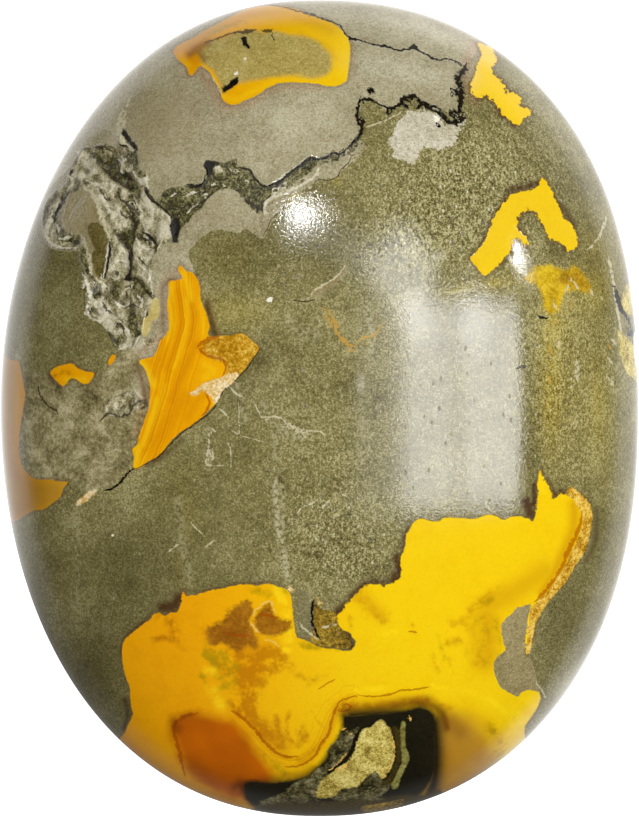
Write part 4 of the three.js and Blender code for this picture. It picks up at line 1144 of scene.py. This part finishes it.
def relief(points, fields):
    """How far each vertex is sunk below the polished surface, in metres."""
    sunk = np.zeros(len(points))
    pocket = smooth_step(fields["crust"], -0.5, 5)
    rough = 0.5 + 0.5 * layered_noise(points, RELIEF_LUMP * MM, seed=61)
    sunk += pocket * (0.05 + 0.3 * rough**2 + 0.25 * fields["darker_and_painted_shade"] - 0.05 * fields["paler_and_painted_light"]) * MM
    on_top = points[:, 2] > EQUATOR
    for x, y, across, along, depth, turn in HOLLOWS:
        right, ahead = along_axes(points[:, :2] / MM - (x, y), across, along, turn)
        sunk += np.where(on_top, np.clip(1.15 - right**2 - ahead**2, 0, 1) * depth * MM, 0)
    sunk += smooth_step(fields["soot"], -1, 3) * (0.05 + 0.12 * rough) * MM
    chip = np.clip(1 - ((points[:, 1] / MM - CHIP_MIDDLE) / CHIP_HALF_LENGTH) ** 2, 0, 1)
    at_rim = smooth_step(-np.abs(points[:, 2] - EQUATOR), *(-height * MM for height in CHIP_HEIGHTS))
    sunk += CHIP_DEPTH * MM * chip * at_rim * (points[:, 0] > 0.9 * HALF_WIDTH)
    return sunk


def stone_mesh():
    rings = stone_rings()
    points = np.vstack(rings)
    triangles = ring_triangles(rings)
    normals = normals_of(points, triangles)
    fields = all_fields(points)
    points = points - normals * relief(points, fields)[:, None]
    mesh = bpy.data.meshes.new("bumblebee_jasper")
    mesh.from_pydata(points.tolist(), [], triangles)
    mesh.polygons.foreach_set("use_smooth", [True] * len(mesh.polygons))
    for name, values in fields.items():
        attribute = mesh.attributes.new(name, "FLOAT", "POINT")
        attribute.data.foreach_set("value", values.astype(np.float32))
    mesh.update()
    return mesh


def srgb(red, green, blue):
    """A colour given as it looks on screen, 0 to 255, for a shader."""
    parts = [channel / 255 for channel in (red, green, blue)]
    linear = [p / 12.92 if p <= 0.04045 else ((p + 0.055) / 1.055) ** 2.4 for p in parts]
    return (*linear, 1.0)


# Numbers of the sockets that a mix node has for colours
MIX_SHARE, MIX_FIRST, MIX_SECOND, MIXED = 0, 6, 7, 2

# Where the colours of a ramp lie
ENDS = (0.3, 0.7)
CLOSE = (0.35, 0.65)
NARROW = (0.25, 0.5, 0.75)
WIDE = (0.2, 0.5, 0.8)
DEEP = (0.2, 0.5, 0.85)


class Graph:
    """Shader nodes. Each method adds a node and returns its output, so that nodes read as a formula."""

    def __init__(self, tree):
        self.tree = tree
        tree.nodes.clear()
        self.place = self.add("ShaderNodeTexCoord", {}, "Object")

    def add(self, kind, inputs, output=0, **settings):
        node = self.tree.nodes.new(kind)
        for key, value in settings.items():
            setattr(node, key, value)
        for key, value in inputs.items():
            if isinstance(value, bpy.types.NodeSocket):
                self.tree.links.new(value, node.inputs[key])
            else:
                node.inputs[key].default_value = value
        return node.outputs[output] if node.outputs else node

    def math(self, operation, *values, clamp=False):
        return self.add("ShaderNodeMath", dict(enumerate(values)), operation=operation, use_clamp=clamp)

    def plus(self, *values):
        total = values[0]
        for value in values[1:]:
            total = self.math("ADD", total, value)
        return total

    def times(self, *values):
        total = values[0]
        for value in values[1:]:
            total = self.math("MULTIPLY", total, value)
        return total

    def invert(self, value):
        return self.math("SUBTRACT", 1.0, value)

    def either(self, a, b):
        return self.math("MAXIMUM", a, b)

    def field(self, name):
        return self.add("ShaderNodeAttribute", {}, "Fac", attribute_name=name)

    def step(self, value, low, high):
        """0 below low, 1 above high and smooth between them."""
        inputs = {"Value": value, "From Min": low, "From Max": high}
        return self.add("ShaderNodeMapRange", inputs, "Result", interpolation_type="SMOOTHSTEP")

    def noise(self, size, detail=2.0, rough=0.5, where=None):
        """Noise around 0.5 with lumps of the given size in metres."""
        inputs = {"Vector": where or self.place, "Scale": 1 / size, "Detail": detail, "Roughness": rough}
        return self.add("ShaderNodeTexNoise", inputs, "Fac")

    def slanted(self, turn, stretch):
        """Places turned around Z and stretched, so that a texture's lumps become dashes."""
        turned, scale = (0, 0, math.radians(turn)), (1.0, 1 / stretch, 1.0)
        return self.add("ShaderNodeMapping", {"Vector": self.place, "Rotation": turned, "Scale": scale})

    def specks(self, size, reach, share, where):
        """Scattered specks: a share of the cells of the given size hold one each, of a size up to reach."""
        soft = 0.07
        node = self.tree.nodes.new("ShaderNodeTexVoronoi")
        self.tree.links.new(where, node.inputs["Vector"])
        node.inputs["Scale"].default_value = 1 / size
        chance = self.tree.nodes.new("ShaderNodeSeparateColor")
        self.tree.links.new(node.outputs["Color"], chance.inputs["Color"])
        picked = self.math("LESS_THAN", chance.outputs["Red"], share)
        depth = self.math("MULTIPLY_ADD", chance.outputs["Green"], -reach, node.outputs["Distance"])
        return self.times(self.step(depth, soft, -soft), picked)

    def around(self, value, amount):
        """A noise's swing around its mean, times an amount."""
        return self.math("MULTIPLY_ADD", value, amount, -amount / 2)

    def mix(self, share, a, b, blend="MIX"):
        node = self.tree.nodes.new("ShaderNodeMix")
        node.data_type = "RGBA"
        node.blend_type = blend
        for number, value in ((MIX_SHARE, share), (MIX_FIRST, a), (MIX_SECOND, b)):
            if isinstance(value, bpy.types.NodeSocket):
                self.tree.links.new(value, node.inputs[number])
            else:
                node.inputs[number].default_value = value
        return node.outputs[MIXED]

    def ramp(self, value, positions, *colours):
        """A colour ramp with screen colours at positions from 0 to 1."""
        node = self.tree.nodes.new("ShaderNodeValToRGB")
        self.tree.links.new(value, node.inputs["Fac"])
        elements = node.color_ramp.elements
        while len(elements) < len(colours):
            elements.new(1.0)
        for element, position, colour in zip(elements, positions, colours):
            element.position = position
            element.color = srgb(*colour)
        return node.outputs["Color"]


class Jasper(Graph):
    """The stone's material: the noises and masks that its parts share, and how a part is laid over others."""

    def __init__(self, tree):
        super().__init__(tree)
        self.cloud = self.noise(5 * MM)
        self.blotch = self.noise(1.3 * MM)
        self.lump = self.noise(0.6 * MM)
        self.grain = self.noise(0.3 * MM)
        self.dust = self.noise(0.13 * MM, 1)
        self.rising, self.falling = self.slanted(35, 1.7), self.slanted(-40, 1.9)
        self.dashes = self.noise(0.2 * MM, 1, 0.5, self.rising)
        self.scores = self.noise(0.2 * MM, 1, 0.5, self.falling)
        self.crumbs = self.noise(0.6 * MM, 3, 0.6, self.slanted(35, 1.4))
        self.fine = self.lumps(0.35, 0.2, 0.4, 0.6)
        self.calm = self.lumps(0.3, 0.6, 0.4, 0.25)
        self.rough = self.lumps(0, 0.7, 1.1, 0.8)
        self.add_edges()
        self.add_masks()

    def add_edges(self):
        """How ragged the zones' edges are, and where the yellow is."""
        self.jag = self.around(self.noise(0.28 * MM, 1), 8.0)
        self.tooth = self.field("tooth")
        toothed = self.times(self.jag, self.plus(self.times(self.tooth, 1.5), 0.25))
        self.ragged = self.plus(self.around(self.blotch, 2.5), toothed)
        self.yellow_at = self.plus(self.field("yellow"), self.times(self.ragged, 0.8))
        self.on_yellow = self.step(self.yellow_at, -0.8, 0.8)

    def add_masks(self):
        """What several parts or the polish need."""
        self.salt, self.milk, self.mustard = self.field("salt"), self.field("milk"), self.field("mustard")
        # Painted shade and light: the darker and lighter strokes, taken up by the soot, the crust and the
        # mottled rock
        self.tone = self.plus(self.times(self.field("paler_and_painted_light"), 0.22), self.times(self.field("darker_and_painted_shade"), -0.24))
        self.flecks = self.specks(0.26 * MM, 0.36, self.plus(self.times(self.salt, 0.26), 0.04), self.rising)
        pits = self.specks(0.28 * MM, 0.4, self.plus(self.times(self.salt, 0.2), 0.1), self.falling)
        self.pits = self.times(pits, self.invert(self.on_yellow))
        # Painted glints: near-white grain where the windows are mirrored
        painted_glint_noise = self.plus(self.dust, self.around(self.scores, 0.5))
        self.frost_and_painted_glint = self.times(self.field("frost_and_painted_glint"), self.step(painted_glint_noise, 0.55, 0.72))
        self.soot = self.inside("soot", 1.2, 1.4)
        self.sooty = self.plus(self.lumps(0, 0.9, 1.1, 1.0), self.tone)
        self.crust = self.inside("crust", 1.2, 1.5)
        self.lobe = self.inside("lobe", 0.8, 0.5)
        # Painted shade: where the open depths and cracks are made near-black
        self.gap = self.either(self.inside("gap", 0.8, 1.5), self.line("crack_with_painted_shade", 0.6, 2.4))

    def lumps(self, clouds, blotches, grains, dusts):
        """A mixture of the noises, around 0.5."""
        parts = [(self.cloud, clouds), (self.blotch, blotches), (self.grain, grains), (self.dust, dusts)]
        return self.plus(0.5, *(self.around(noise, amount) for noise, amount in parts if amount))

    def inside(self, name, soft=0.8, rag=1.0):
        """1 inside a zone and 0 outside it, with an edge as soft and as ragged as asked."""
        return self.step(self.plus(self.field(name), self.times(self.ragged, rag)), -soft, soft)

    def line(self, name, rag, beads):
        """1 on the lines of a name and 0 beside them, wavering and beaded."""
        offset = self.math("ABSOLUTE", self.plus(self.field(name), self.times(self.jag, 0.6 * rag)))
        reach = self.plus(1.0, self.around(self.grain, beads))
        inner = self.step(self.math("SUBTRACT", offset, reach), 0.45, -0.45)
        return self.times(inner, self.step(self.field(name + "_far"), 4.0, 2.6))

    def tint(self, colour, where, amount, paint):
        """The colour with an amount of a paint mixed in where a mask is 1."""
        return self.mix(self.times(where, amount), colour, paint)

    def lay(self, colour, name, paint, soft=0.8, rag=1.0):
        """The colour with a zone laid over it."""
        return self.mix(self.inside(name, soft, rag), colour, paint)

    def across(self, left, right):
        """A colour that changes from the left of the yellow to its right."""
        return self.mix(self.field("sun"), srgb(*left), srgb(*right))


def matrix_colour(g):
    """The olive matrix with its shaded and mustard parts, specks and dust, and painted glints under the
    windows' reflections.
    """
    coarse = g.plus(g.lumps(0.2, 0.35, 0.4, 1.3), g.around(g.dashes, 0.9), g.around(g.scores, 0.9))
    share = g.plus(g.times(g.salt, 0.8), 0.05)
    matrix = g.plus(g.times(coarse, share), g.times(g.fine, g.invert(share)), g.times(g.salt, 0.035))
    colour = g.ramp(matrix, WIDE, (73, 67, 34), (126, 118, 72), (188, 180, 132))
    musty = g.ramp(matrix, NARROW, (112, 94, 22), (161, 145, 64), (206, 190, 104))
    colour = g.tint(colour, g.mustard, 0.8, musty)
    shade = g.ramp(g.fine, NARROW, (50, 44, 20), (80, 73, 39), (110, 102, 62))
    colour = g.tint(colour, g.field("shade"), 0.85, shade)
    colour = g.tint(colour, g.pits, g.plus(g.times(g.salt, 0.5), 0.15), srgb(62, 54, 28))
    colour = g.tint(colour, g.flecks, g.plus(g.times(g.salt, 0.7), 0.2), srgb(214, 208, 176))
    # painted glints: near-white grain under the windows' reflections
    colour = g.tint(colour, g.frost_and_painted_glint, 0.4, srgb(222, 216, 192))
    dusty = g.times(g.field("dusty"), g.step(g.grain, 0.38, 0.56))
    return g.tint(colour, dusty, 0.85, srgb(196, 189, 154))


def with_pale_rock(g, colour):
    """Ashen, mottled and slate rock, the paler island, and milky spots."""
    ashen = g.ramp(g.lumps(0.5, 0.25, 0.4, 0.7), NARROW, (131, 121, 87), (166, 157, 124), (199, 192, 162))
    ashen = g.tint(ashen, g.mustard, 0.6, srgb(142, 126, 82))
    ashen = g.tint(ashen, g.pits, 0.45, srgb(96, 86, 54))
    colour = g.lay(colour, "ash", ashen)
    # partly painted shade and light from the darker and lighter strokes
    mottled = g.plus(g.lumps(0.3, 0.8, 0.6, 0.5), g.tone)
    mottle = g.ramp(mottled, WIDE, (78, 69, 40), (140, 130, 88), (198, 188, 148))
    colour = g.lay(colour, "mottle", g.tint(mottle, g.pits, 0.4, srgb(74, 66, 42)))
    island = g.ramp(g.lumps(0.25, 0.4, 0.6, 0.8), NARROW, (160, 151, 122), (196, 188, 162), (224, 218, 200))
    colour = g.lay(colour, "island", island)
    slate = g.ramp(g.fine, NARROW, (84, 78, 48), (118, 110, 72), (150, 142, 104))
    colour = g.lay(colour, "slate", slate)
    return g.tint(colour, g.milk, 0.85, g.ramp(g.fine, ENDS, (184, 176, 146), (238, 233, 212)))


def with_crust(g, colour):
    """Soot, and the weathered crust with what lies in it: partly painted shade in their dips and dark
    patches, painted light on their pale faces and ridges, and painted glints on the soot's hollow.
    """
    soot = g.ramp(g.sooty, DEEP, (32, 28, 6), (82, 78, 34), (154, 148, 98))
    colour = g.mix(g.soot, colour, soot)
    # darker where the crumbs' bump dips, with painted shade and light from the strokes
    crusty = g.plus(g.around(g.crumbs, 2.1), 0.5, g.around(g.dust, 0.8), g.tone)
    crust_colours = (44, 39, 14), (120, 111, 72), (157, 148, 110), (211, 203, 173)
    colour = g.mix(g.crust, colour, g.ramp(crusty, (0.12, 0.4, 0.6, 0.9), *crust_colours))
    lobe = g.ramp(g.lumps(0.3, 0.3, 0.35, 0.6), NARROW, (124, 112, 74), (152, 139, 98), (178, 166, 126))
    colour = g.mix(g.lobe, colour, lobe)
    lens = g.ramp(g.fine, NARROW, (70, 60, 22), (104, 92, 46), (134, 124, 74))
    colour = g.lay(colour, "lens", lens, 0.8, 0.5)
    # pale crumbs, partly painted light, with a painted glint in the soot's hollow
    chalk_and_painted_light = g.ramp(g.plus(crusty, 0.04), (0.15, 0.5, 0.85), (104, 96, 60), (169, 160, 123), (219, 211, 183))
    colour = g.lay(colour, "chalk_and_painted_light", chalk_and_painted_light, 1.6, 2.4)
    # dark patches, partly painted shade in the pocket's recesses
    charred_and_shaded = g.plus(g.lumps(0, 0.8, 1.2, 1.0), g.tone)
    char_and_painted_shade = g.ramp(charred_and_shaded, DEEP, (27, 23, 4), (77, 72, 30), (154, 147, 98))
    colour = g.lay(colour, "char_and_painted_shade", char_and_painted_shade, 1.8, 2.4)
    # pale ridges, partly painted light, with painted glints on the soot's hollow
    ridge_and_painted_light = g.ramp(g.grain, (0.3, 0.6), (178, 170, 135), (226, 219, 196))
    return g.tint(colour, g.line("ridge_and_painted_light", 0.8, 2.0), 0.85, ridge_and_painted_light)


def with_burnt_edge(g, colour):
    """A pink blush and a thin burnt edge around the yellow."""
    colour = g.mix(g.times(g.field("blush"), 0.9), colour, srgb(250, 222, 214), "MULTIPLY")
    near = g.step(g.plus(g.yellow_at, g.around(g.blotch, 5.0)), -3.6, -0.6)
    colour = g.tint(colour, near, g.plus(g.times(g.tooth, 0.6), 0.3), srgb(92, 54, 24))
    burn = g.step(g.plus(g.field("burn"), g.around(g.lumps(0, 0.5, 1.0, 0.5), 1.0)), 0.1, 0.9)
    return g.tint(colour, burn, 0.9, srgb(66, 36, 16))


def gold_colour(g):
    """The yellow itself, with streaks along its flow and mottled spots."""
    gold = g.across((235, 163, 0), (243, 203, 12))
    deeper = g.step(g.lumps(0.5, 0.8, 0.6, 0.6), 0.45, 0.8)
    gold = g.tint(gold, deeper, 0.5, g.across((224, 148, 0), (236, 186, 0)))
    flow = g.field("flow")
    wave = g.plus(g.times(flow, 0.42), g.times(g.blotch, 1.6))
    inputs = {"W": wave, "Scale": 1.0, "Detail": 2.0}
    streaks = g.add("ShaderNodeTexNoise", inputs, "Fac", noise_dimensions="1D")
    swirl = g.step(g.math("ABSOLUTE", flow), 34.0, 14.0)
    gold = g.mix(g.times(swirl, g.step(streaks, 0.45, 0.7), 0.75), gold, srgb(206, 124, 0))
    gold = g.mix(g.times(swirl, g.step(streaks, 0.5, 0.28), 0.6), gold, srgb(240, 194, 14))
    gold = g.tint(gold, g.field("honey"), 0.75, g.across((206, 124, 0), (204, 142, 6)))
    gold = g.tint(gold, g.field("butter"), 0.7, srgb(246, 204, 20))
    mottling = g.plus(1.0, g.around(g.blotch, 2.4), g.around(g.lump, 2.4), g.around(g.grain, 0.8))
    spots = (
        ("amber", 0.0, 1.1, 0.85, g.across((180, 104, 0), (204, 142, 6))),
        ("lichen", 0.1, 1.0, 0.85, srgb(176, 140, 4)),
        ("lemon", 0.05, 1.0, 0.75, srgb(250, 214, 22)),
    )
    for name, low, high, amount, paint in spots:
        gold = g.tint(gold, g.step(g.times(g.field(name), mottling), low, high), amount, paint)
    return gold


def with_rust(g, gold):
    """Rust, browns and tans in the yellow, its folds, scorches and milky parts, and painted shade dimming the
    hook.
    """
    rust = g.step(g.plus(g.field("rust"), g.around(g.blotch, 8.0)), -9.0, 7.0)
    gold = g.mix(rust, gold, g.ramp(g.cloud, CLOSE, (200, 101, 0), (170, 84, 0)))
    umber = g.ramp(g.calm, (0.25, 0.5, 0.8), (108, 60, 8), (146, 90, 16), (196, 132, 30))
    gold = g.tint(gold, g.inside("umber", 3.0, 2.0), 0.95, umber)
    # dull beige on the ring, and painted shade dimming the hook
    gold = g.tint(gold, g.field("dull_and_painted_shade"), 0.8, srgb(188, 158, 78))
    curl = g.ramp(g.rough, WIDE, (138, 88, 6), (188, 140, 28), (226, 192, 88))
    gold = g.tint(gold, g.inside("curl", 2.0), 0.9, curl)
    gold = g.tint(gold, g.line("fold", 0.5, 1.6), 0.7, srgb(162, 66, 0))
    core = g.step(g.plus(g.field("core"), g.around(g.blotch, 6.0)), -4.0, 3.0)
    gold = g.mix(core, gold, g.ramp(g.fine, NARROW, (142, 123, 56), (177, 158, 86), (206, 190, 124)))
    tan = g.ramp(g.cloud, CLOSE, (192, 144, 44), (178, 128, 32))
    gold = g.mix(g.step(g.field("tan"), -16.0, 14.0), gold, tan)
    gold = g.tint(gold, g.field("scorch"), 0.9, srgb(92, 40, 4))
    gold = g.tint(gold, g.milk, 0.5, srgb(238, 220, 160))
    return g.tint(gold, g.step(g.dust, 0.5, 0.3), 0.08, srgb(120, 70, 0))


def with_veins(g, colour):
    """The furrows with their painted shade in creases, the smudge, gilt threads, the ochre vein, flakes and
    cream.
    """
    # dark seams, and painted shade in the creases
    colour = g.tint(colour, g.line("furrow_and_painted_shade", 0.8, 2.0), 0.85, srgb(48, 36, 18))
    smudge = g.step(g.plus(g.field("smudge"), g.times(g.ragged, 1.3)), -4.0, 1.5)
    smudgy = g.plus(g.calm, g.around(g.rough, 0.35))
    smudged = g.ramp(smudgy, WIDE, (150, 118, 10), (204, 166, 12), (230, 196, 30))
    smudged = g.tint(smudged, g.field("lichen"), 0.8, g.ramp(g.rough, ENDS, (134, 96, 14), (182, 134, 16)))
    colour = g.tint(colour, smudge, 0.9, smudged)
    colour = g.tint(colour, g.line("gilt", 0.9, 3.0), 0.8, srgb(192, 150, 62))
    vein = g.plus(g.rough, g.around(g.calm, 0.5))
    ochre = g.ramp(vein, WIDE, (160, 108, 14), (208, 162, 48), (236, 202, 100))
    colour = g.lay(colour, "ochre", ochre, 0.8, 0.6)
    flake = g.ramp(g.calm, WIDE, (168, 146, 74), (204, 186, 116), (232, 218, 160))
    colour = g.lay(colour, "flake", flake)
    cream = g.ramp(g.rough, WIDE, (204, 156, 66), (222, 190, 124), (242, 228, 192))
    return g.lay(colour, "cream", cream, 1.0, 1.8)


def with_foot(g, colour):
    """The black foot with its minerals, and the grey-violet inclusion."""
    black = g.either(g.inside("ebony", 4.0), g.times(g.field("dusk"), g.on_yellow))
    colour = g.mix(black, colour, g.ramp(g.fine, ENDS, (14, 12, 5), (36, 31, 15)))
    mossy = g.ramp(g.lumps(0, 1.2, 1.0, 0.6), DEEP, (34, 30, 12), (82, 75, 42), (146, 139, 102))
    colour = g.lay(colour, "moss", mossy, 1.2, 1.5)
    colour = g.lay(colour, "verge", g.ramp(g.fine, ENDS, (48, 40, 12), (78, 66, 24)), 2.5)
    bronze = g.ramp(g.rough, WIDE, (78, 60, 16), (124, 100, 34), (184, 150, 50))
    colour = g.lay(colour, "bronze", bronze)
    reed = g.ramp(g.rough, NARROW, (96, 90, 34), (132, 126, 62), (160, 154, 90))
    colour = g.lay(colour, "reed", reed, 1.0)
    khaki = g.ramp(g.lumps(0.3, 0.9, 0.8, 0.9), WIDE, (124, 104, 36), (196, 176, 86), (232, 218, 140))
    colour = g.lay(colour, "khaki", khaki, 1.2, 1.3)
    violet = g.ramp(g.lumps(0.3, 0.3, 0.4, 0.7), NARROW, (118, 104, 66), (150, 136, 94), (178, 164, 124))
    return g.lay(colour, "violet", violet)


def with_seams(g, colour):
    """Pale seams, white specks, and painted shade: near-black in the open depths and cracks."""
    seams = g.times(g.line("pale", 0.7, 2.4), g.step(g.grain, 0.25, 0.55))
    colour = g.tint(colour, seams, 0.8, g.mix(g.on_yellow, srgb(206, 198, 162), srgb(232, 190, 92)))
    snow = g.step(g.plus(g.field("snow"), g.around(g.grain, 0.8)), 0.42, 0.56)
    colour = g.mix(snow, colour, srgb(238, 233, 214))
    # painted shade: near-black in the open depths and cracks
    return g.mix(g.gap, colour, g.ramp(g.grain, (0.4, 0.7), (12, 8, 3), (40, 30, 14)))


def polish(g):
    """The roughness: duller in the soot, the crust, the pits, the painted glints under the windows'
    reflections and the cracks.
    """
    broken = g.either(g.crust, g.soot)
    dull = g.times(g.math("SUBTRACT", broken, g.lobe, clamp=True), 0.35)
    return g.plus(0.06, g.times(g.pits, 0.3), g.times(g.frost_and_painted_glint, 0.2), g.times(g.gap, 0.12), dull)


def wear(g):
    """The bumps: fine grain and pits, weaker on the yellow, with crumbs in the crust and open cracks."""
    parts = (g.lump, 0.15), (g.grain, 0.22), (g.dust, 0.28), (g.pits, -0.4)
    height = g.plus(*(g.times(part, amount) for part, amount in parts))
    height = g.times(height, g.plus(1.0, g.times(g.on_yellow, -0.8)))
    deep = g.times(g.crumbs, g.crust, 14.0), g.times(g.sooty, g.soot, 4.0), g.times(g.gap, -1.5)
    inputs = {"Strength": 0.6, "Distance": 0.03 * MM, "Height": g.plus(height, *deep)}
    return g.add("ShaderNodeBump", inputs)


def jasper_material():
    """The olive rock, the yellow over it, and the veins, the foot and the seams over both."""
    material = bpy.data.materials.new("jasper")
    material.use_nodes = True
    g = Jasper(material.node_tree)
    colour = matrix_colour(g)
    for add_part in (with_pale_rock, with_crust, with_burnt_edge):
        colour = add_part(g, colour)
    colour = g.mix(g.on_yellow, colour, with_rust(g, gold_colour(g)))
    for add_part in (with_veins, with_foot, with_seams):
        colour = add_part(g, colour)
    inputs = {"Base Color": colour, "Roughness": polish(g), "Normal": wear(g), "IOR": 1.54}
    g.add("ShaderNodeOutputMaterial", {"Surface": g.add("ShaderNodeBsdfPrincipled", inputs, "BSDF")})
    return material


def add_stone():
    stone = bpy.data.objects.new("bumblebee_jasper_stone", stone_mesh())
    bpy.context.scene.collection.objects.link(stone)
    stone.data.materials.append(jasper_material())
    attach(stone, "root")
    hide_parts("palm_stone")


def add_camera():
    """The photograph looks straight down and is filled by the stone."""
    data = bpy.data.cameras.new("camera")
    data.sensor_fit = "VERTICAL"
    data.sensor_height = 24.0
    data.lens = data.sensor_height * (EYE_HEIGHT - EQUATOR) / (PHOTO_HEIGHT * PIXEL)
    data.clip_start = 0.01
    camera = bpy.data.objects.new("camera", data)
    camera.location = (0, 0, EYE_HEIGHT)
    bpy.context.scene.collection.objects.link(camera)
    bpy.context.scene.camera = camera


def add_floor():
    """A white table, so bright that no shadow shows, as in the photograph. The room lights the stone's rims
    instead of it, because the photograph's white ground is brighter above the stone than below it."""
    half = 1.5
    corners = [(-half, -half, 0), (half, -half, 0), (half, half, 0), (-half, half, 0)]
    mesh = bpy.data.meshes.new("floor")
    mesh.from_pydata(corners, [], [(0, 1, 2, 3)])
    floor = bpy.data.objects.new("floor", mesh)
    bpy.context.scene.collection.objects.link(floor)
    floor.visible_glossy = False
    floor.visible_diffuse = False
    floor.visible_shadow = False
    material = bpy.data.materials.new("white_table")
    material.use_nodes = True
    g = Graph(material.node_tree)
    white = g.ramp(g.noise(60 * MM), ENDS, (238, 238, 238), (244, 244, 244))
    inputs = {"Base Color": white, "Roughness": 0.7, "Emission Color": (1, 1, 1, 1), "Emission Strength": 1.0}
    g.add("ShaderNodeOutputMaterial", {"Surface": g.add("ShaderNodeBsdfPrincipled", inputs, "BSDF")})
    mesh.materials.append(material)


# Lamps by how the stone sees them: tilt from straight up and bearing from +X in degrees, apparent width and
# height in degrees, radiance, and whether the polish mirrors them
LAMPS = {
    "window_right": (34.1, 0, 17, 19, 9.0, True),
    "window_left": (19.1, 0, 10.8, 19, 6.7, True),
    "window_edge": (12.6, 0, 3.8, 18.5, 1.5, True),
    "window_fringe": (15.5, 0, 20, 19.5, 1.6, True),
    "window_left_top": (18.8, 26, 5.6, 5.5, 5.6, True),
    "window_right_top": (30, 16, 9.5, 6, 5.0, True),
    "window_far": (19.5, 46, 10.5, 10, 6.4, True),
    "window_far_left": (17, 68, 5, 7, 2.0, True),
    "spot_top": (22.0, 93, 2.8, 2.8, 62.0, True),
    "spot_top_tail": (20.0, 93, 5, 5, 6.0, True),
    "spot_right": (47.3, 22.2, 2.1, 2.1, 105.0, True),
    "spot_right_tail": (49.6, 18.5, 2.2, 3.2, 10.0, True),
    "fill": (25, 50, 60, 60, 0.93, False),
    "fill_low": (48, 240, 50, 50, 1.05, False),
}
LAMP_DISTANCE = 0.8


def add_lamps():
    for name, (*angles, radiance, mirrored) in LAMPS.items():
        tilt, bearing, across, along = (math.radians(angle) for angle in angles)
        data = bpy.data.lights.new(name, "AREA")
        data.shape = "RECTANGLE"
        data.size = 2 * LAMP_DISTANCE * math.tan(across / 2)
        data.size_y = 2 * LAMP_DISTANCE * math.tan(along / 2)
        data.energy = radiance * math.pi * data.size * data.size_y
        lamp = bpy.data.objects.new(name, data)
        out, up = LAMP_DISTANCE * math.sin(tilt), LAMP_DISTANCE * math.cos(tilt)
        lamp.location = (out * math.cos(bearing), out * math.sin(bearing), up)
        lamp.rotation_euler = (0, tilt, bearing)
        lamp.visible_glossy = mirrored
        bpy.context.scene.collection.objects.link(lamp)


def add_room():
    """A dim room whose ground is pale around the stone, brightest behind it and dim at its lower left."""
    world = bpy.data.worlds.new("room")
    world.use_nodes = True
    g = Graph(world.node_tree)
    way = g.add("ShaderNodeTexCoord", {}, "Generated")
    flat = g.add("ShaderNodeVectorMath", {0: way, 1: (1, 1, 0)}, operation="MULTIPLY")
    bearing = g.add("ShaderNodeVectorMath", {0: flat}, operation="NORMALIZE")
    rise = g.add("ShaderNodeSeparateXYZ", {"Vector": way}, "Z")

    def facing(degrees, low, high):
        """1 towards a bearing and 0 away from it."""
        aim = (math.cos(math.radians(degrees)), math.sin(math.radians(degrees)), 0)
        share = g.add("ShaderNodeVectorMath", {0: bearing, 1: aim}, "Value", operation="DOT_PRODUCT")
        return g.step(share, low, high)

    ground = g.times(g.step(rise, -0.05, -0.45), g.plus(g.times(facing(71, -0.75, -0.4), 1.25), 0.16))
    behind = g.times(g.step(rise, 0.35, -0.05), g.step(rise, -0.8, -0.3), facing(50, 0.75, 0.97))
    strength = g.plus(ground, g.times(behind, 0.8), 0.04)
    background = g.add("ShaderNodeBackground", {"Color": (1.0, 0.98, 0.96, 1), "Strength": strength})
    g.add("ShaderNodeOutputWorld", {"Surface": background})
    bpy.context.scene.world = world
    bpy.context.scene.view_settings.view_transform = "Standard"


add_camera()
add_floor()
add_lamps()
add_room()
add_stone()
